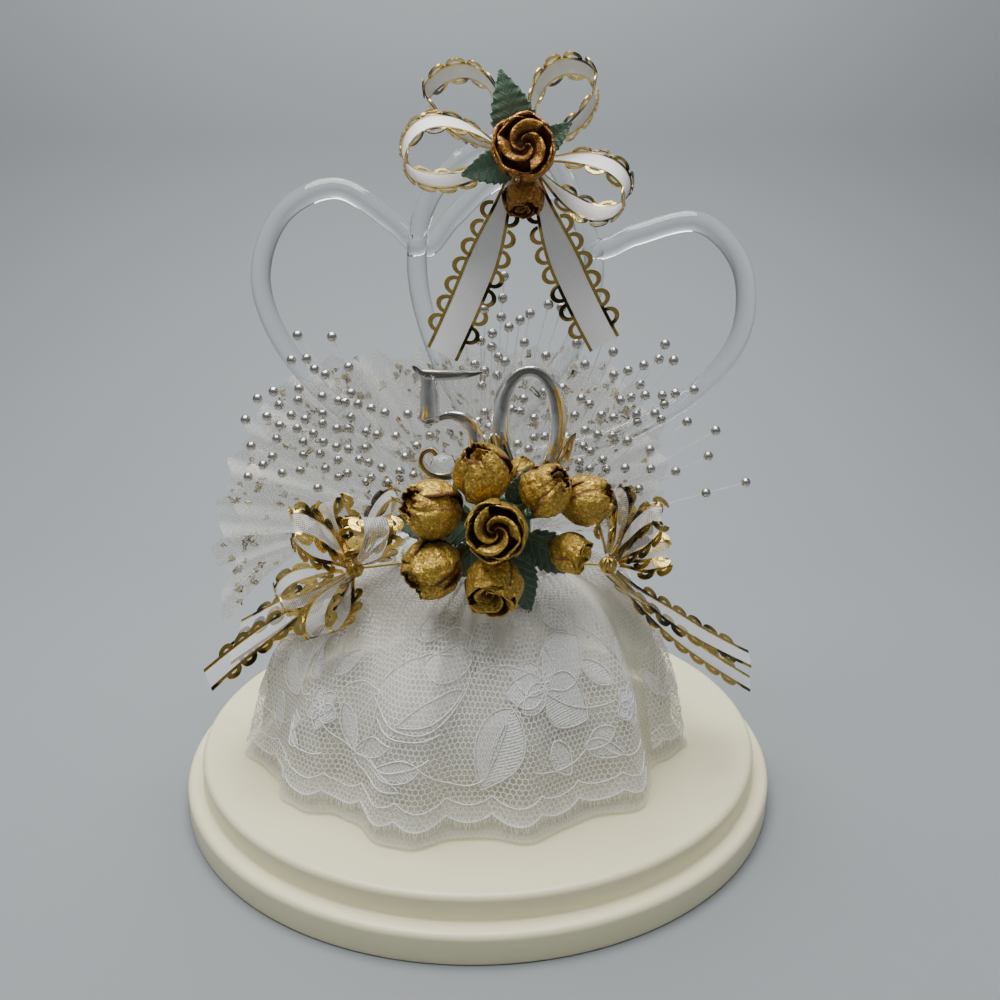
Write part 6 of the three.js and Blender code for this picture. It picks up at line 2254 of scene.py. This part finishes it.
class TOPPER_OT_lace(TopperOperator, bpy.types.Operator):
    """Gather the lace skirt, with its cords, hem and fringe"""
    bl_idname = "topper.lace"
    bl_label = "Lace skirt"

    def make(self, view, sizes, colours):
        make_lace(sizes, colours)


class TOPPER_OT_underskirt(TopperOperator, bpy.types.Operator):
    """Gather the tulle underskirt"""
    bl_idname = "topper.underskirt"
    bl_label = "Underskirt"

    def make(self, view, sizes, colours):
        make_underskirt(colours)


class TOPPER_OT_fan(TopperOperator, bpy.types.Operator):
    """Spread the tulle fan and scatter its foil flecks"""
    bl_idname = "topper.fan"
    bl_label = "Tulle fan"

    def make(self, view, sizes, colours):
        make_fan(sizes, colours)


class TOPPER_OT_numerals(TopperOperator, bpy.types.Operator):
    """Cast the plated numerals on their picks"""
    bl_idname = "topper.numerals"
    bl_label = "Numerals"

    def make(self, view, sizes, colours):
        make_numerals(colours)


class TOPPER_OT_stem(TopperOperator, bpy.types.Operator):
    """Tape the bouquet's stem"""
    bl_idname = "topper.stem"
    bl_label = "Bouquet stem"

    def make(self, view, sizes, colours):
        make_stem(colours)


class TOPPER_OT_rosebuds(TopperOperator, bpy.types.Operator):
    """Wrap the bouquet's rosebuds"""
    bl_idname = "topper.rosebuds"
    bl_label = "Rosebuds"

    def make(self, view, sizes, colours):
        make_rosebuds(colours)


class TOPPER_OT_leaves(TopperOperator, bpy.types.Operator):
    """Cut the leaves between the rosebuds"""
    bl_idname = "topper.leaves"
    bl_label = "Bouquet leaves"

    def make(self, view, sizes, colours):
        make_bouquet_leaves(colours)


class TOPPER_OT_bows(TopperOperator, bpy.types.Operator):
    """Fold the three ribbon bows"""
    bl_idname = "topper.bows"
    bl_label = "Bows"

    def make(self, view, sizes, colours):
        make_bows(sizes, colours)


class TOPPER_OT_ties(TopperOperator, bpy.types.Operator):
    """Wind the wires that hold the bows"""
    bl_idname = "topper.ties"
    bl_label = "Ties"

    def make(self, view, sizes, colours):
        make_ties(colours)


class TOPPER_OT_top_flowers(TopperOperator, bpy.types.Operator):
    """Make the top rose, its bud and its leaves"""
    bl_idname = "topper.top_flowers"
    bl_label = "Top flowers"

    def make(self, view, sizes, colours):
        make_top_flowers(colours)


class TOPPER_OT_sprays(TopperOperator, bpy.types.Operator):
    """String the bead sprays"""
    bl_idname = "topper.sprays"
    bl_label = "Bead sprays"

    def make(self, view, sizes, colours):
        make_sprays(sizes, colours)


OPERATORS = [
    TOPPER_OT_stage, TOPPER_OT_base, TOPPER_OT_core, TOPPER_OT_hearts, TOPPER_OT_lace, TOPPER_OT_underskirt,
    TOPPER_OT_fan, TOPPER_OT_numerals, TOPPER_OT_stem, TOPPER_OT_rosebuds, TOPPER_OT_leaves, TOPPER_OT_bows,
    TOPPER_OT_ties, TOPPER_OT_top_flowers, TOPPER_OT_sprays,
]


class TOPPER_PT_panel(bpy.types.Panel):
    """Lists the topper's pieces and settings"""
    bl_idname = "TOPPER_PT_panel"
    bl_label = "Cake topper"
    bl_space_type = "VIEW_3D"
    bl_region_type = "UI"
    bl_category = "Topper"

    def draw(self, context):
        layout = self.layout
        for operator in OPERATORS:
            layout.operator(operator.bl_idname)
        for settings in (context.scene.topper_view, context.scene.topper_sizes, context.scene.topper_colours):
            box = layout.box()
            for name in settings.__annotations__:
                box.prop(settings, name)


CLASSES = [TopperView, TopperSizes, TopperColours, *OPERATORS, TOPPER_PT_panel]
SETTINGS = {"topper_view": TopperView, "topper_sizes": TopperSizes, "topper_colours": TopperColours}


def register():
    for cls in CLASSES:
        bpy.utils.register_class(cls)
    for name, group in SETTINGS.items():
        setattr(bpy.types.Scene, name, bpy.props.PointerProperty(type=group))


def unregister():
    for name in SETTINGS:
        delattr(bpy.types.Scene, name)
    for cls in reversed(CLASSES):
        bpy.utils.unregister_class(cls)


def main():
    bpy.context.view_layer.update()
    register()
    for operator in OPERATORS:
        group, name = operator.bl_idname.split(".")
        getattr(getattr(bpy.ops, group), name)()
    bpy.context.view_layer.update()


if __name__ == "__main__":
    main()
